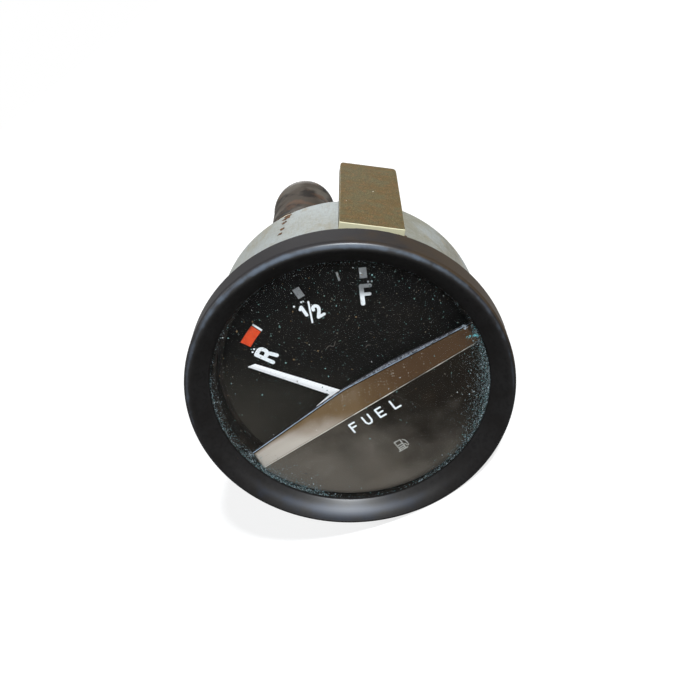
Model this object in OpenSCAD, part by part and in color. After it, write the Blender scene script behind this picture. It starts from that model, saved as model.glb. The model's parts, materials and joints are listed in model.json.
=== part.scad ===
// Car fuel gauge of the bimetal kind, made for a 52 mm hole in a dash panel.
// The pieces are drawn with the dial lying face up: X to the right, Y up the dial, Z towards
// the reader, and z = 0 where the bezel's back meets the panel. upright() then stands each
// piece up, so that the dial faces -Y and its top is +Z. Millimetres and degrees; dial angles
// count clockwise from the dial's top.

/* [Bezel] */
// How far the bezel stands out past the case's barrel
bezel_over = 3.1; // [2.8:0.1:4]
// Height of the bezel's ridge over the panel
bezel_h = 6; // [5.4:0.1:7]
// Thickness of the bezel's sheet
bezel_sheet = 0.6; // [0.4:0.05:0.75]
// Radius of the ridge's round
ridge_r = 0.8; // [0.65:0.05:1]
// Width of the bezel's face, from its outside to the opening over the glass
face_w = 4.2; // [3.7:0.1:4.8]
// Height of the lip's edge over the glass
lip_h = 0.5; // [0.3:0.05:0.8]
// Width of the lip's seat on the glass
lip_seat = 0.33; // [0.2:0.01:0.5]
// Thickness of the three bayonet tabs
tab_t = 0.5; // [0.4:0.05:0.8]
// Angle that one tab spans
tab_span = 16; // [10:1:20]
// Turn of the bezel from locked to free
lock_turn = 35; // [30:1:45]

/* [Case] */
// Outside diameter of the case's barrel
case_d = 51.8; // [50.6:0.1:52.2]
// Thickness of the case's sheet
case_wall = 0.8; // [0.6:0.05:1]
// Depth of the case behind the panel's face
case_depth = 21.7; // [20.6:0.1:26]
// Thickness of the case's front flange
flange_t = 0.5; // [0.4:0.05:0.7]
// Gap between the flange's edge and the bezel
flange_gap = 0.2; // [0.1:0.05:0.4]
// Radius of the round at the case's back edge
case_edge_r = 0.8; // [0.3:0.05:1]

/* [Glass and mask] */
// Thickness of the glass
glass_t = 1.3; // [1:0.1:1.5]
// Width of the rubber seal round the glass
seal_w = 0.8; // [0.5:0.05:1.1]
// Width of the ring that the mask covers inside the barrel
mask_band = 1.9; // [1.4:0.1:2.6]
// Thickness of the mask's moulding
mask_t = 0.35; // [0.25:0.05:0.45]
// Height of the mask's rim, which carries the glass
mask_rim_h = 0.9; // [0.7:0.05:1.2]
// Distance from the dial's centre down to the mask's fold
fold_drop = 5.87; // [4.9:0.01:7]
// Distance from the dial's centre down to the middle of the mask's foot
foot_drop = 1.85; // [1:0.05:2.6]
// How much lower the foot is at its two ends
foot_bow = 2.05; // [0.5:0.05:2.2]
// Height of the foot's lower edge over the dial
foot_lift = 1.05; // [0.9:0.05:1.4]

/* [Dial] */
// Depth of the dial's face behind the panel's face
dial_recess = 2.66; // [2:0.02:3.4]
// Thickness of the dial plate
dial_t = 0.5; // [0.3:0.05:0.7]
// Distance from the dial's centre down to the pointer's pivot
pivot_drop = 9.1; // [8.6:0.1:9.6]
// Gap between the full mark's outer end and the mask's bore
mark_margin = 2.4; // [1.6:0.1:3.2]
// Length of the marks along the radius from the pivot
mark_len = 2; // [1:0.1:2.6]
// Length of the thin three-quarter line
line_len = 1.7; // [1:0.1:2.4]
// Width of the half and full marks
mark_w = 1.3; // [0.6:0.1:1.8]
// Width of the thin lines
line_w = 0.35; // [0.2:0.05:0.5]
// Thickness of the paint of the marks
paint_t = 0.05; // [0.02:0.01:0.1]
// Dial angle of the half mark
half_angle = 3.9; // [-4:0.1:8]
// Dial angle of the three-quarter line
three_quarter_angle = 19.8; // [14:0.1:22]
// Dial angle of the full mark
full_angle = 28.9; // [26:0.1:34]
// Dial angle at which the red reserve mark starts
reserve_start = -26.3; // [-30:0.1:-24]
// Dial angle at which the red reserve mark ends
reserve_end = -18.3; // [-21:0.1:-14]

/* [Pointer] */
// Distance of the pointer's tip inside the outer ends of the marks
pointer_gap = 3; // [2.5:0.1:4.5]
// Width of the pointer at its tip
tip_w = 1; // [0.6:0.05:1.4]
// Width of the pointer at its pivot
root_w = 1.85; // [1.4:0.05:2.4]
// Thickness of the pointer
pointer_t = 0.25; // [0.15:0.05:0.35]
// Height of the pointer over the dial
pointer_lift = 0.4; // [0.25:0.05:0.5]
// Dial angle of the pointer at rest
rest_angle = -33.7; // [-37:0.1:-30]
// Turn of the pointer from rest to its upper stop
swing = 65; // [60:1:66]
// Diameter of the pointer's spindle
spindle_d = 1.2; // [0.8:0.1:1.4]
// Radius of the crank that turns the spindle
crank_r = 2.6; // [2.2:0.1:2.8]
// Diameter of the crank's pin
crank_pin_d = 0.7; // [0.5:0.05:0.8]

/* [Movement] */
// Height of the pillars between the dial and the movement's frame
pillar_h = 3.3; // [2.8:0.1:3.8]
// Thickness of the movement's frame plate
frame_t = 1; // [0.8:0.1:1.2]
// Gap between the frame plate's edge and the case
frame_gap = 2.1; // [1.2:0.1:2.6]
// Height of the rear bridge over the frame plate
bridge_h = 8.2; // [7.8:0.1:8.8]
// Thickness of the bridge and the strip anchor's foot
bridge_t = 0.8; // [0.6:0.05:1]
// Gap between the bimetal strip's anchor and the case's wall
anchor_gap = 2; // [1.6:0.1:2.6]
// Width of the bimetal strip
strip_w = 4; // [3:0.1:4.6]
// Thickness of the bimetal strip
strip_t = 0.3; // [0.2:0.05:0.4]
// Thickness of the heater winding over the strip
winding_t = 0.5; // [0.3:0.05:0.7]
// Dial angle of the zero adjuster
zero_angle = 144; // [142:0.5:147]
// Distance of the zero adjuster's axis from the case's wall
zero_edge = 4.9; // [4.4:0.1:5.4]
// Dial angle of the range adjuster
range_angle = 79; // [76:0.5:82]
// Distance of the range adjuster's axis from the case's wall
range_edge = 5; // [4.6:0.1:5.6]

/* [Studs and bracket] */
// Dial angle in which the bracket's upper leg points
strap_angle = 42.9; // [40:0.1:46]
// Distance of the studs' axes from the barrel's outside
stud_edge = 15.9; // [15:0.1:16.5]
// Diameter of the studs' thread
stud_d = 4.7; // [4:0.1:5]
// Length of the studs behind the case
stud_len = 24.3; // [23:0.1:28]
// Width of the hexagon nuts across their corners
hex_d = 9.5; // [8.6:0.1:9.8]
// Thickness of the hexagon nuts
hex_t = 2.6; // [2:0.1:3.2]
// Thickness of the spring washers
washer_t = 0.8; // [0.5:0.05:1]
// Width of the bracket's strap
strap_w = 11.2; // [10:0.1:12]
// Thickness of the bracket's strap
strap_t = 1.6; // [1.2:0.05:2]
// Gap between the case's barrel and a leg
leg_gap = 0.9; // [0.8:0.05:1.2]
// Gap between the bezel's back and the legs' feet, where the panel goes
panel_gap = 3; // [2.4:0.1:3.6]
// Depth of the bracket's back face behind the panel's face
strap_depth = 37; // [35:0.1:38]
// Outer radius of the strap's two bends
bend_r = 2.4; // [2:0.1:3]
// Diameter of the knurled nuts
nut_d = 10; // [9:0.1:10.6]
// Height of the knurled nuts' grip
nut_grip = 3.2; // [2.4:0.1:3.6]
// Height of the knurled nuts' collar
nut_collar = 1.4; // [1:0.1:1.8]

/* [Lamp] */
// Dial angle of the lamp holder
lamp_angle = 6.4; // [2:0.1:8]
// Outside diameter of the rubber boot
boot_d = 12.84; // [12:0.02:13.2]
// Thickness of the boot's wall
boot_wall = 1; // [0.8:0.05:1.2]
// Length of the boot's straight part behind the case
boot_straight = 16.9; // [14:0.1:18]
// Length of the boot's domed end
boot_dome = 8.9; // [7:0.1:10]
// Thickness of the lamp holder's sheet
holder_t = 0.4; // [0.3:0.05:0.5]
// Clearance between the lamp's screw cap and its holder
cap_gap = 0.32; // [0.2:0.02:0.6]
// Diameter of the lamp's glass
lamp_d = 8.8; // [8:0.1:9.2]

/* [Terminals] */
// Distance of the terminals' line from the barrel's outside
terminal_edge = 12.4; // [11.6:0.1:13]
// Distance between the two terminals
terminal_pitch = 15; // [14:0.1:16]
// Width of the blades
blade_w = 6.3; // [4.8:0.1:6.6]
// Thickness of the blades
blade_t = 0.8; // [0.6:0.05:1]
// Length of the blades behind the insulators
blade_len = 9.6; // [8:0.1:11]
// Diameter of the insulators
insulator_d = 8; // [7.4:0.1:8.4]
// Thickness of the insulators
insulator_t = 1.2; // [0.8:0.1:1.6]

/* [Hidden] */
$fn = 96;

// Clearances that several fits share
run_gap = 0.05;
fit_gap = 0.02;
loose_gap = 0.3;
eps = 0.01;
// How far a cut runs on past the face that it opens
cut = 1;

// Radii from the outside in
case_r = case_d / 2;
case_in_r = case_r - case_wall;
bezel_r = case_r + bezel_over;
bezel_in_r = bezel_r - bezel_sheet;
flange_r = bezel_in_r - flange_gap;
glass_r = flange_r - seal_w;
neck_cut = 0.4;
tab_gap = 0.4;
notch_gap = 0.1;
tab_in_r = case_r + tab_gap;
mask_bore_r = case_in_r - mask_band;
skirt_r = mask_bore_r + mask_t;
dial_edge_gap = 0.5;
dial_r = case_in_r - dial_edge_gap;
frame_r = case_in_r - frame_gap;

// Levels from the front to the back
flange_z = tab_t + flange_t;
glass_back_z = flange_z + mask_rim_h;
glass_front_z = glass_back_z + glass_t;
lip_z = glass_front_z + lip_h;
glass_air = 0.1;
seal_low = 0.2;
moon_z = glass_back_z - glass_air;
dial_z = -dial_recess;
dial_back_z = dial_z - dial_t;
pointer_z = dial_z + pointer_lift;
frame_z = dial_back_z - pillar_h;
frame_back_z = frame_z - frame_t;
foot_z = frame_back_z - bridge_t;
bridge_z = frame_back_z - bridge_h;
bridge_back_z = bridge_z - bridge_t;
floor_z = -(case_depth - case_wall);
back_z = -case_depth;

// Bezel profile: the cone leaves the opening's edge and meets the ridge's round at a tangent
opening_r = bezel_r - face_w;
ridge_c = [bezel_r - ridge_r, bezel_h - ridge_r];
ridge_run = ridge_c - [opening_r, lip_z];
cone_angle = atan2(ridge_run[1], ridge_run[0]) + asin(ridge_r / norm(ridge_run));
ridge_touch = ridge_c + ridge_r * [-sin(cone_angle), cos(cone_angle)];
cone_under_z = glass_front_z + (bezel_in_r - opening_r - lip_seat) * tan(cone_angle);
tab_count = 3;
tab_first = 30;
notch_play = 6;

// Mask
mask_seat_t = 0.3;
mask_front_z = flange_z + mask_seat_t;
rim_bead_w = 1;
skirt_mid_r = mask_bore_r + mask_t / 2;
foot_end_drop = foot_drop + foot_bow;
foot_front_z = dial_z + foot_lift + mask_t;
fold_end_x = sqrt(pow(skirt_mid_r, 2) - pow(fold_drop, 2));
foot_end_x = sqrt(pow(skirt_mid_r, 2) - pow(foot_end_drop, 2));

// Scale: its radius about the pivot keeps the full mark's end clear of the mask
full_end_r = mask_bore_r - mark_margin;
full_side = pivot_drop * sin(full_angle);
mark_r = pivot_drop * cos(full_angle) + sqrt(pow(full_end_r, 2) - pow(full_side, 2));
line_gap = 0.2;

// Dial furniture
screw_r = 0.8;
screw_head_r = 1.4;
screw_head_h = 0.5;
screw_slot_w = 0.4;
screw_slot_deep = 0.25;
screw_grip = 1.65;
screw_short = 0.1;
pillar_r = 2;
pillar_edge = 0.77;
pillar_angle = 130;
pillar_reach = frame_r - pillar_r - pillar_edge;
pillar_points = [
    for (s = [-1, 1]) pillar_reach * [s * sin(pillar_angle), cos(pillar_angle)]
];
hub_hole_r = 2;

// Pointer and crank
pointer_len = mark_r - pointer_gap;
spindle_r = spindle_d / 2;
hub_r = 1.6;
hub_h = 1.2;
hub_cap_t = 0.3;
tail_len = 6;
balance_r = 1.5;
balance_t = 0.6;
chisel = 1;
spindle_end = 0.5;
bush_r = 1.4;
bush_flange_r = 1.9;
bush_flange_t = 0.5;
crank_pin_r = crank_pin_d / 2;
crank_gap = 1.5;
crank_z = frame_back_z - crank_gap;
crank_t = 0.6;
crank_w = 1;
crank_hub_r = 1.2;
crank_hub_h = 1;
crank_rest = swing / 2;

// Bimetal strip: it points from its root towards the spindle, and is tilted at rest so that
// the crank's pin lies in the middle of the fork's slot over the whole swing
arm_w = 5;
root_pad_r = arm_w / 2 + 0.3;
root_r = case_in_r - anchor_gap - arm_w / 2;
strip_reach = sqrt(pow(root_r, 2) - pow(pivot_drop, 2));
strip_gap = 3;
strip_top_z = frame_back_z - strip_gap;
strip_mid_z = strip_top_z - strip_w / 2;
pin_side = crank_r * sin(crank_rest);
pin_near = crank_r * cos(crank_rest);
strip_tilt = atan(pin_side / (strip_reach - pin_near));
pin_reach_mid = strip_reach - crank_r;
pin_reach_end = norm([strip_reach - pin_near, pin_side]);
slot_mid = (pin_reach_mid + pin_reach_end) / 2;
slot_end_gap = 0.1;
slot_half = (pin_reach_end - pin_reach_mid) / 2 + slot_end_gap;
slot_side_gap = 0.1;
slot_r = crank_pin_r + slot_side_gap;
fork_wall = 0.35;
fork_neck = 2.15;
fork_grip = 1.4;
fork_w = 2 * (slot_r + fork_wall);
fork_t = 0.5;
fork_z = strip_mid_z + fork_t / 2;
fork_tip = slot_mid + slot_half + crank_pin_r + fork_wall;
strip_end = slot_mid - slot_half - slot_r - fork_neck;
fork_root = strip_end - fork_grip;
strip_tail = 1.8;
jaw_len = 3.4;
jaw_t = 1;
jaw_gap = strip_t / 2 + loose_gap;
jaw_drop = 0.5;
jaw_z = strip_top_z - strip_w - jaw_drop;
winding_root_gap = 1.7;
winding_end_gap = 0.4;
winding_from = jaw_len / 2 + winding_root_gap;
winding_to = fork_root - winding_end_gap;
pin_past = 1;
pin_end_z = strip_mid_z - fork_t / 2 - pin_past;

// Rear bridge
bridge_w = 4.2;
bridge_half = 5.9;
bridge_foot = 4;
bridge_screw_points = [
    for (s = [-1, 1]) [0, -pivot_drop + s * (bridge_half + bridge_foot / 2)]
];

// Where the adjusters and the anchor's screws stand
root_point = [strip_reach, -pivot_drop];
adjuster_points = [
    (case_in_r - zero_edge) * [sin(zero_angle), cos(zero_angle)],
    (case_in_r - range_edge) * [sin(range_angle), cos(range_angle)]
];
anchor_screw_points = [for (p = adjuster_points) (root_point + p) / 2];

// Adjusters
adjuster_r = 1.5;
adjuster_collar_r = 2.2;
adjuster_collar_t = 0.8;
adjuster_pivot_r = 0.45;
peg_r = 0.35;
peg_throw = 1.15;
peg_gap = 0.2;
peg_hole_r = peg_throw + peg_r + peg_gap;
adjuster_hole_r = adjuster_r + peg_gap;
adjuster_slot_deep = 0.6;
adjuster_end_gap = 0.3;
adjuster_end_z = back_z + adjuster_end_gap;
plug_r = 2;
plug_t = 0.8;

// Studs, nuts and bracket
stud_pitch = 2 * (case_r - stud_edge);
stud_r = stud_d / 2;
stud_shoulder_r = 2.9;
stud_neck_r = 1.6;
stud_head_r = 2.6;
stud_head_t = 0.5;
stud_end_z = back_z - stud_len;
stud_hole_r = stud_r + run_gap;
washer_r = 4.2;
leg_in = case_r + leg_gap;
leg_out = leg_in + strap_t;
strap_back_z = -strap_depth;
strap_front_z = strap_back_z + strap_t;
strap_hole_r = stud_r + loose_gap;
nut_z = strap_back_z - washer_t;
nut_r = nut_d / 2;
collar_r = 3.7;
flute_count = 26;
flute_r = 0.42;
flute_out = 0.12;
relief_gap = 1.2;
earth_tab_t = 0.8;
earth_blade_side = 8.2;
earth_blade_len = 9;

// Lamp
boot_r = boot_d / 2;
holder_r = boot_r - boot_wall;
lamp_hole_gap = 0.15;
lamp_hole_r = holder_r + lamp_hole_gap;
lamp_edge = 0.35;
lamp_reach = case_in_r - lamp_hole_r - lamp_edge;
lamp_x = lamp_reach * sin(lamp_angle);
lamp_y = lamp_reach * cos(lamp_angle);
holder_flange_t = 0.6;
boot_z = back_z - holder_flange_t;
boot_end_z = back_z - boot_straight;
cap_r = holder_r - holder_t - cap_gap;
lamp_r = lamp_d / 2;
holder_back = 3.2;
slit_w = 1;
slit_root = 2.5;
cap_front = 0.6;
cap_back = 1.4;
lamp_neck_in = 0.7;
lamp_neck_r = lamp_r - lamp_neck_in;
lamp_rise = 0.1;
lamp_dial_gap = 1.84;
lamp_c_z = dial_back_z - lamp_dial_gap - lamp_r;
cap_front_z = lamp_c_z - lamp_r - lamp_rise;
cap_back_z = back_z - cap_back;
holder_front_z = cap_front_z - cap_front;
holder_back_z = back_z - holder_back;
contact_head_r = 1.4;
contact_head_t = 0.6;
contact_r = 0.9;
contact_len = 5;
lamp_disc_t = 1.4;
lamp_disc_gap = 1.6;
wire_inlet_r = 1.3;
lamp_air = 2;
frame_top = lamp_y - lamp_r - lamp_air;

// Terminals
terminal_side = case_r - terminal_edge;
insulator_r = insulator_d / 2;
inner_washer_r = 3.2;
inner_washer_t = 1;
sleeve_r = 2.1;
terminal_hole_r = 2.2;
rivet_r = 1.2;
rivet_head_r = 2.2;
rivet_head_t = 0.6;
blade_z = back_z - insulator_t;
blade_side = 4.4;
blade_chamfer = 1;
detent_r = 0.8;
detent_edge = 3.8;
wire_r = 0.3;
wire_joint_r = 0.36;
wire_z = (floor_z + inner_washer_t + rivet_head_t + jaw_z) / 2;

// Stands a piece up, from the dial lying face up to the dial facing -Y
module upright() {
    rotate([90, 0, 0]) children();
}

// Moves to the pointer's pivot
module at_pivot() {
    translate([0, -pivot_drop, 0]) children();
}

// Moves to a place in the bracket's own directions: along the strap, and square to it
module at_strap(along, side) {
    rotate([0, 0, -strap_angle]) translate([side, along, 0]) children();
}

// Moves to the root of the bimetal strip, with +X along the strip at rest
module at_strip() {
    at_pivot() translate([strip_reach, 0, 0]) rotate([0, 0, 180 - strip_tilt]) children();
}

module at_lamp() {
    translate([lamp_x, lamp_y, 0]) children();
}

function strap_point(along, side) = [
    side * cos(strap_angle) + along * sin(strap_angle),
    along * cos(strap_angle) - side * sin(strap_angle)
];

// A disc of radius r between two levels
module disc(r, z0, z1) {
    translate([0, 0, min(z0, z1)]) cylinder(h = abs(z1 - z0), r = r);
}

// A ring between two radii and two levels
module ring(r_out, r_in, z0, z1) {
    difference() {
        disc(r_out, z0, z1);
        disc(r_in, min(z0, z1) - cut, max(z0, z1) + cut);
    }
}

// A block centred in X and Y, between two levels
module slab(x, y, z0, z1) {
    translate([-x / 2, -y / 2, min(z0, z1)]) cube([x, y, abs(z1 - z0)]);
}

// A wedge with its point on the axis, for arcs shorter than half a turn
module wedge(from, to, r, z0, z1) {
    mid = (from + to) / 2;
    translate([0, 0, z0]) linear_extrude(z1 - z0)
        polygon([[0, 0], for (a = [from, mid, to]) 1.5 * r * [sin(a), cos(a)]]);
}

// A bar between two points, round at its far end and, if start is true, at its near end
module bar(p, q, w, z0, z1, start = true) {
    run = q - p;
    translate([p[0], p[1], min(z0, z1)]) rotate([0, 0, atan2(run[1], run[0])]) {
        translate([0, -w / 2, 0]) cube([norm(run), w, abs(z1 - z0)]);
        if (start) cylinder(h = abs(z1 - z0), r = w / 2);
        translate([norm(run), 0, 0]) cylinder(h = abs(z1 - z0), r = w / 2);
    }
}

// A straight wire between two points in space, with a round joint at its far end
module wire(p, q, joint) {
    run = q - p;
    flat = norm([run[0], run[1]]);
    translate(p) rotate([0, atan2(flat, run[2]), atan2(run[1], run[0])])
        cylinder(h = norm(run), r = wire_r, $fn = 24);
    if (joint) translate(q) sphere(r = wire_joint_r, $fn = 24);
}

// A slotted cheese-head screw: its head stands on z = 0 towards +Z
module cheese_screw(head_r, head_h, shank_r, shank_len) {
    difference() {
        disc(head_r, 0, head_h);
        slab(screw_slot_w, 3 * head_r, head_h - screw_slot_deep, head_h + cut);
    }
    disc(shank_r, -shank_len, eps);
}

module bezel() color([0.09, 0.09, 0.1]) upright() {
    rotate_extrude() {
        polygon([
            [bezel_in_r, 0], [bezel_r, 0], [bezel_r, ridge_c[1]], ridge_c, ridge_touch,
            [opening_r, lip_z], [opening_r, glass_front_z],
            [opening_r + lip_seat, glass_front_z], [bezel_in_r, cone_under_z]
        ]);
        translate(ridge_c) circle(r = ridge_r);
    }
    for (i = [0 : tab_count - 1]) {
        mid = tab_first + i * 360 / tab_count;
        intersection() {
            ring(bezel_in_r + eps, tab_in_r, 0, tab_t);
            wedge(mid - tab_span / 2, mid + tab_span / 2, bezel_r, 0, tab_t);
        }
    }
}

module glass() color([0.85, 0.95, 0.95, 0.3]) upright()
    disc(glass_r, glass_back_z, glass_front_z);

module glass_seal() color([0.12, 0.12, 0.12]) upright()
    ring(flange_r, glass_r, flange_z, glass_front_z - seal_low);

// One half of the mask's sloping wall, on the side that sign gives
module mask_wall(sign) {
    front = [
        [0, -fold_drop, moon_z], [sign * fold_end_x, -fold_drop, moon_z],
        [sign * foot_end_x, -foot_end_drop, foot_front_z], [0, -foot_drop, foot_front_z]
    ];
    back = [for (p = front) p - [0, mask_t, mask_t]];
    rings = concat(front, back);
    faces = [
        [0, 1, 2], [0, 2, 3], [4, 6, 5], [4, 7, 6], [0, 4, 5], [0, 5, 1], [1, 5, 6],
        [1, 6, 2], [2, 6, 7], [2, 7, 3], [3, 7, 4], [3, 4, 0]
    ];
    turned = [for (f = faces) [f[2], f[1], f[0]]];
    polyhedron(points = rings, faces = sign > 0 ? turned : faces);
}

module dial_mask() color([0.08, 0.08, 0.08]) upright() {
    ring(skirt_r, mask_bore_r, dial_z, mask_front_z);
    ring(glass_r, mask_bore_r, flange_z, mask_front_z);
    ring(glass_r, glass_r - rim_bead_w, flange_z, glass_back_z);
    intersection() {
        union() {
            disc(skirt_r, moon_z - mask_t, moon_z);
            ring(skirt_r, mask_bore_r, flange_z, moon_z);
        }
        translate([-2 * skirt_r, -fold_drop - 4 * skirt_r, dial_z])
            cube([4 * skirt_r, 4 * skirt_r, bezel_h - dial_z]);
    }
    for (sign = [-1, 1]) mask_wall(sign);
}

module dial_plate() color([0.07, 0.07, 0.07]) upright()
    difference() {
        disc(dial_r, dial_back_z, dial_z);
        at_pivot() disc(hub_hole_r, dial_back_z - cut, dial_z + cut);
        for (p = pillar_points) translate(p)
            disc(screw_r + fit_gap, dial_back_z - cut, dial_z + cut);
    }

// A block of paint on the scale, square to the radius at a dial angle
module scale_block(angle, w, len) {
    at_pivot() rotate([0, 0, -angle]) translate([-w / 2, mark_r - len, dial_z])
        cube([w, len, paint_t]);
}

module scale_marks() color("white") upright() {
    line_angle = reserve_end + atan((line_w / 2 + line_gap) / mark_r);
    scale_block(half_angle, mark_w, mark_len);
    scale_block(full_angle, mark_w, mark_len);
    scale_block(three_quarter_angle, line_w, line_len);
    scale_block(line_angle, line_w, mark_len);
}

module reserve_mark() color([0.9, 0.25, 0.1]) upright()
    at_pivot() intersection() {
        ring(mark_r, mark_r - mark_len, dial_z, dial_z + paint_t);
        wedge(reserve_start, reserve_end, mark_r, dial_z, dial_z + paint_t);
    }

module dial_screws() color("silver") upright()
    for (p = pillar_points) translate([p[0], p[1], dial_z])
        cheese_screw(screw_head_r, screw_head_h, screw_r, dial_t + screw_grip);

module dial_pillars() color([0.75, 0.62, 0.3]) upright()
    for (p = pillar_points) translate(p)
        difference() {
            disc(pillar_r, frame_z, dial_back_z);
            disc(screw_r + fit_gap, dial_back_z - screw_grip - screw_short, dial_back_z + cut);
        }

// Turns to the pointer's rest angle about the pivot
module along_pointer() {
    at_pivot() rotate([0, 0, -rest_angle]) children();
}

module pointer() color("white") upright()
    along_pointer() difference() {
        translate([0, 0, pointer_z]) linear_extrude(pointer_t)
            polygon([
                [-root_w / 2, 0], [-root_w / 2, -tail_len], [root_w / 2, -tail_len],
                [root_w / 2, 0], [tip_w / 2, pointer_len - chisel], [-tip_w / 2, pointer_len]
            ]);
        disc(spindle_r + fit_gap, pointer_z - cut, pointer_z + cut);
    }

module pointer_hub() color([0.1, 0.1, 0.1]) upright()
    at_pivot() difference() {
        disc(hub_r, pointer_z + pointer_t, pointer_z + pointer_t + hub_h);
        disc(spindle_r + fit_gap, pointer_z, pointer_z + pointer_t + hub_h - hub_cap_t);
    }

module pointer_balance() color("silver") upright()
    along_pointer() translate([0, -tail_len + balance_r, 0])
        disc(balance_r, pointer_z + pointer_t, pointer_z + pointer_t + balance_t);

module pointer_spindle() color("silver") upright()
    at_pivot() disc(spindle_r, bridge_back_z - spindle_end,
        pointer_z + pointer_t + hub_h - hub_cap_t - run_gap);

module pointer_crank() color([0.8, 0.65, 0.3]) upright()
    at_pivot() rotate([0, 0, crank_rest]) {
        difference() {
            union() {
                disc(crank_hub_r, crank_z - crank_hub_h, crank_z);
                bar([0, 0], [crank_r, 0], crank_w, crank_z - crank_t, crank_z);
            }
            disc(spindle_r + fit_gap, crank_z - crank_hub_h - cut, crank_z + cut);
        }
        translate([crank_r, 0, 0]) disc(crank_pin_r, pin_end_z, crank_z - crank_t + eps);
    }

module movement_frame() color([0.6, 0.62, 0.64]) upright()
    difference() {
        intersection() {
            disc(frame_r, frame_back_z, frame_z);
            translate([-2 * case_r, frame_top - 4 * case_r, frame_back_z])
                cube([4 * case_r, 4 * case_r, frame_t]);
        }
        at_pivot() disc(bush_r + fit_gap, frame_back_z - cut, frame_z + cut);
        for (s = [-1, 1]) at_strap(s * stud_pitch / 2, 0)
            disc(stud_neck_r + fit_gap, frame_back_z - cut, frame_z + cut);
        for (p = adjuster_points) translate(p)
            disc(adjuster_pivot_r + run_gap, frame_back_z - cut, frame_z + cut);
        for (p = concat(anchor_screw_points, bridge_screw_points)) translate(p)
            disc(screw_r + fit_gap, frame_back_z - cut, frame_z + cut);
    }

module front_bush() color([0.8, 0.65, 0.3]) upright()
    at_pivot() difference() {
        union() {
            disc(bush_r, frame_back_z, frame_z + eps);
            disc(bush_flange_r, frame_z, frame_z + bush_flange_t);
        }
        disc(spindle_r + run_gap, frame_back_z - cut, frame_z + cut);
    }

module rear_bridge() color([0.6, 0.62, 0.64]) upright()
    difference() {
        union() {
            at_pivot() slab(bridge_w, 2 * bridge_half, bridge_back_z, bridge_z);
            for (s = [-1, 1]) at_pivot() {
                translate([0, s * (bridge_half - bridge_t / 2), 0])
                    slab(bridge_w, bridge_t, bridge_back_z, frame_back_z);
                translate([0, s * (bridge_half + bridge_foot / 2 - eps), 0])
                    slab(bridge_w, bridge_foot, foot_z, frame_back_z);
            }
        }
        at_pivot() disc(bush_r + fit_gap, bridge_back_z - cut, bridge_z + cut);
        for (p = bridge_screw_points) translate(p)
            disc(screw_r + fit_gap, foot_z - cut, frame_back_z + cut);
    }

module rear_bush() color([0.8, 0.65, 0.3]) upright()
    at_pivot() difference() {
        union() {
            disc(bush_r, bridge_back_z, bridge_z + eps);
            disc(bush_flange_r, bridge_z, bridge_z + bush_flange_t);
        }
        disc(spindle_r + run_gap, bridge_back_z - cut, bridge_z + cut);
    }

module bridge_screws() color("silver") upright()
    for (p = bridge_screw_points) translate([p[0], p[1], foot_z]) rotate([180, 0, 0])
        cheese_screw(screw_head_r, screw_head_h, screw_r, bridge_t + frame_t - screw_short);

module bimetal_strip() color([0.7, 0.6, 0.45]) upright()
    at_strip() translate([-strip_tail, -strip_t / 2, strip_top_z - strip_w])
        cube([strip_tail + strip_end, strip_t, strip_w]);

module bimetal_fork() color([0.8, 0.65, 0.3]) upright()
    at_strip() difference() {
        translate([fork_root, -fork_w / 2, fork_z - fork_t])
            cube([fork_tip - fork_root, fork_w, fork_t]);
        translate([fork_root - cut, -strip_t / 2, fork_z - fork_t - cut])
            cube([strip_end - fork_root + cut, strip_t, fork_t + 2 * cut]);
        bar([slot_mid - slot_half, 0], [slot_mid + slot_half, 0],
            2 * slot_r, fork_z - fork_t - cut, fork_z + cut);
    }

module heater_winding() color([0.35, 0.18, 0.1]) upright()
    at_strip() difference() {
        translate([winding_from, -strip_t / 2 - winding_t, strip_top_z - strip_w - winding_t])
            cube([winding_to - winding_from, strip_t + 2 * winding_t, strip_w + 2 * winding_t]);
        translate([winding_from - cut, -strip_t / 2, strip_top_z - strip_w])
            cube([winding_to - winding_from + 2 * cut, strip_t, strip_w]);
    }

module strip_anchor() color([0.55, 0.4, 0.22]) upright()
    difference() {
        union() {
            translate(root_point) disc(root_pad_r, foot_z, frame_back_z);
            for (p = adjuster_points) bar(root_point, p, arm_w, foot_z, frame_back_z, false);
            for (s = [-1, 1])
                translate([root_point[0], root_point[1] + s * (jaw_gap + jaw_t / 2), 0])
                    slab(jaw_len, jaw_t, jaw_z, frame_back_z);
        }
        for (p = adjuster_points) translate(p) disc(peg_hole_r, foot_z - cut, frame_back_z + cut);
        for (p = anchor_screw_points) translate(p)
            disc(screw_r + fit_gap, foot_z - cut, frame_back_z + cut);
    }

module anchor_screws() color("silver") upright()
    for (p = anchor_screw_points) translate([p[0], p[1], foot_z]) rotate([180, 0, 0])
        cheese_screw(screw_head_r, screw_head_h, screw_r, bridge_t + frame_t - screw_short);

// An adjuster: its eccentric peg nudges the anchor, and a slot in its end takes a screwdriver
module adjuster(p) {
    collar_z = foot_z - run_gap;
    translate(p) difference() {
        union() {
            disc(adjuster_collar_r, collar_z - adjuster_collar_t, collar_z);
            disc(adjuster_r, adjuster_end_z, collar_z - adjuster_collar_t + eps);
            disc(adjuster_pivot_r, collar_z - eps, frame_z - screw_short);
            translate([peg_throw, 0, 0])
                disc(peg_r, collar_z - eps, frame_back_z - screw_short);
        }
        slab(screw_slot_w, 4 * adjuster_r, adjuster_end_z - cut,
            adjuster_end_z + adjuster_slot_deep);
    }
}

module zero_adjuster() color("silver") upright() adjuster(adjuster_points[0]);

module range_adjuster() color("silver") upright() adjuster(adjuster_points[1]);

module adjuster_plugs() color([0.45, 0.32, 0.2]) upright()
    for (p = adjuster_points) translate(p) disc(plug_r, back_z - plug_t, back_z);

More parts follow.
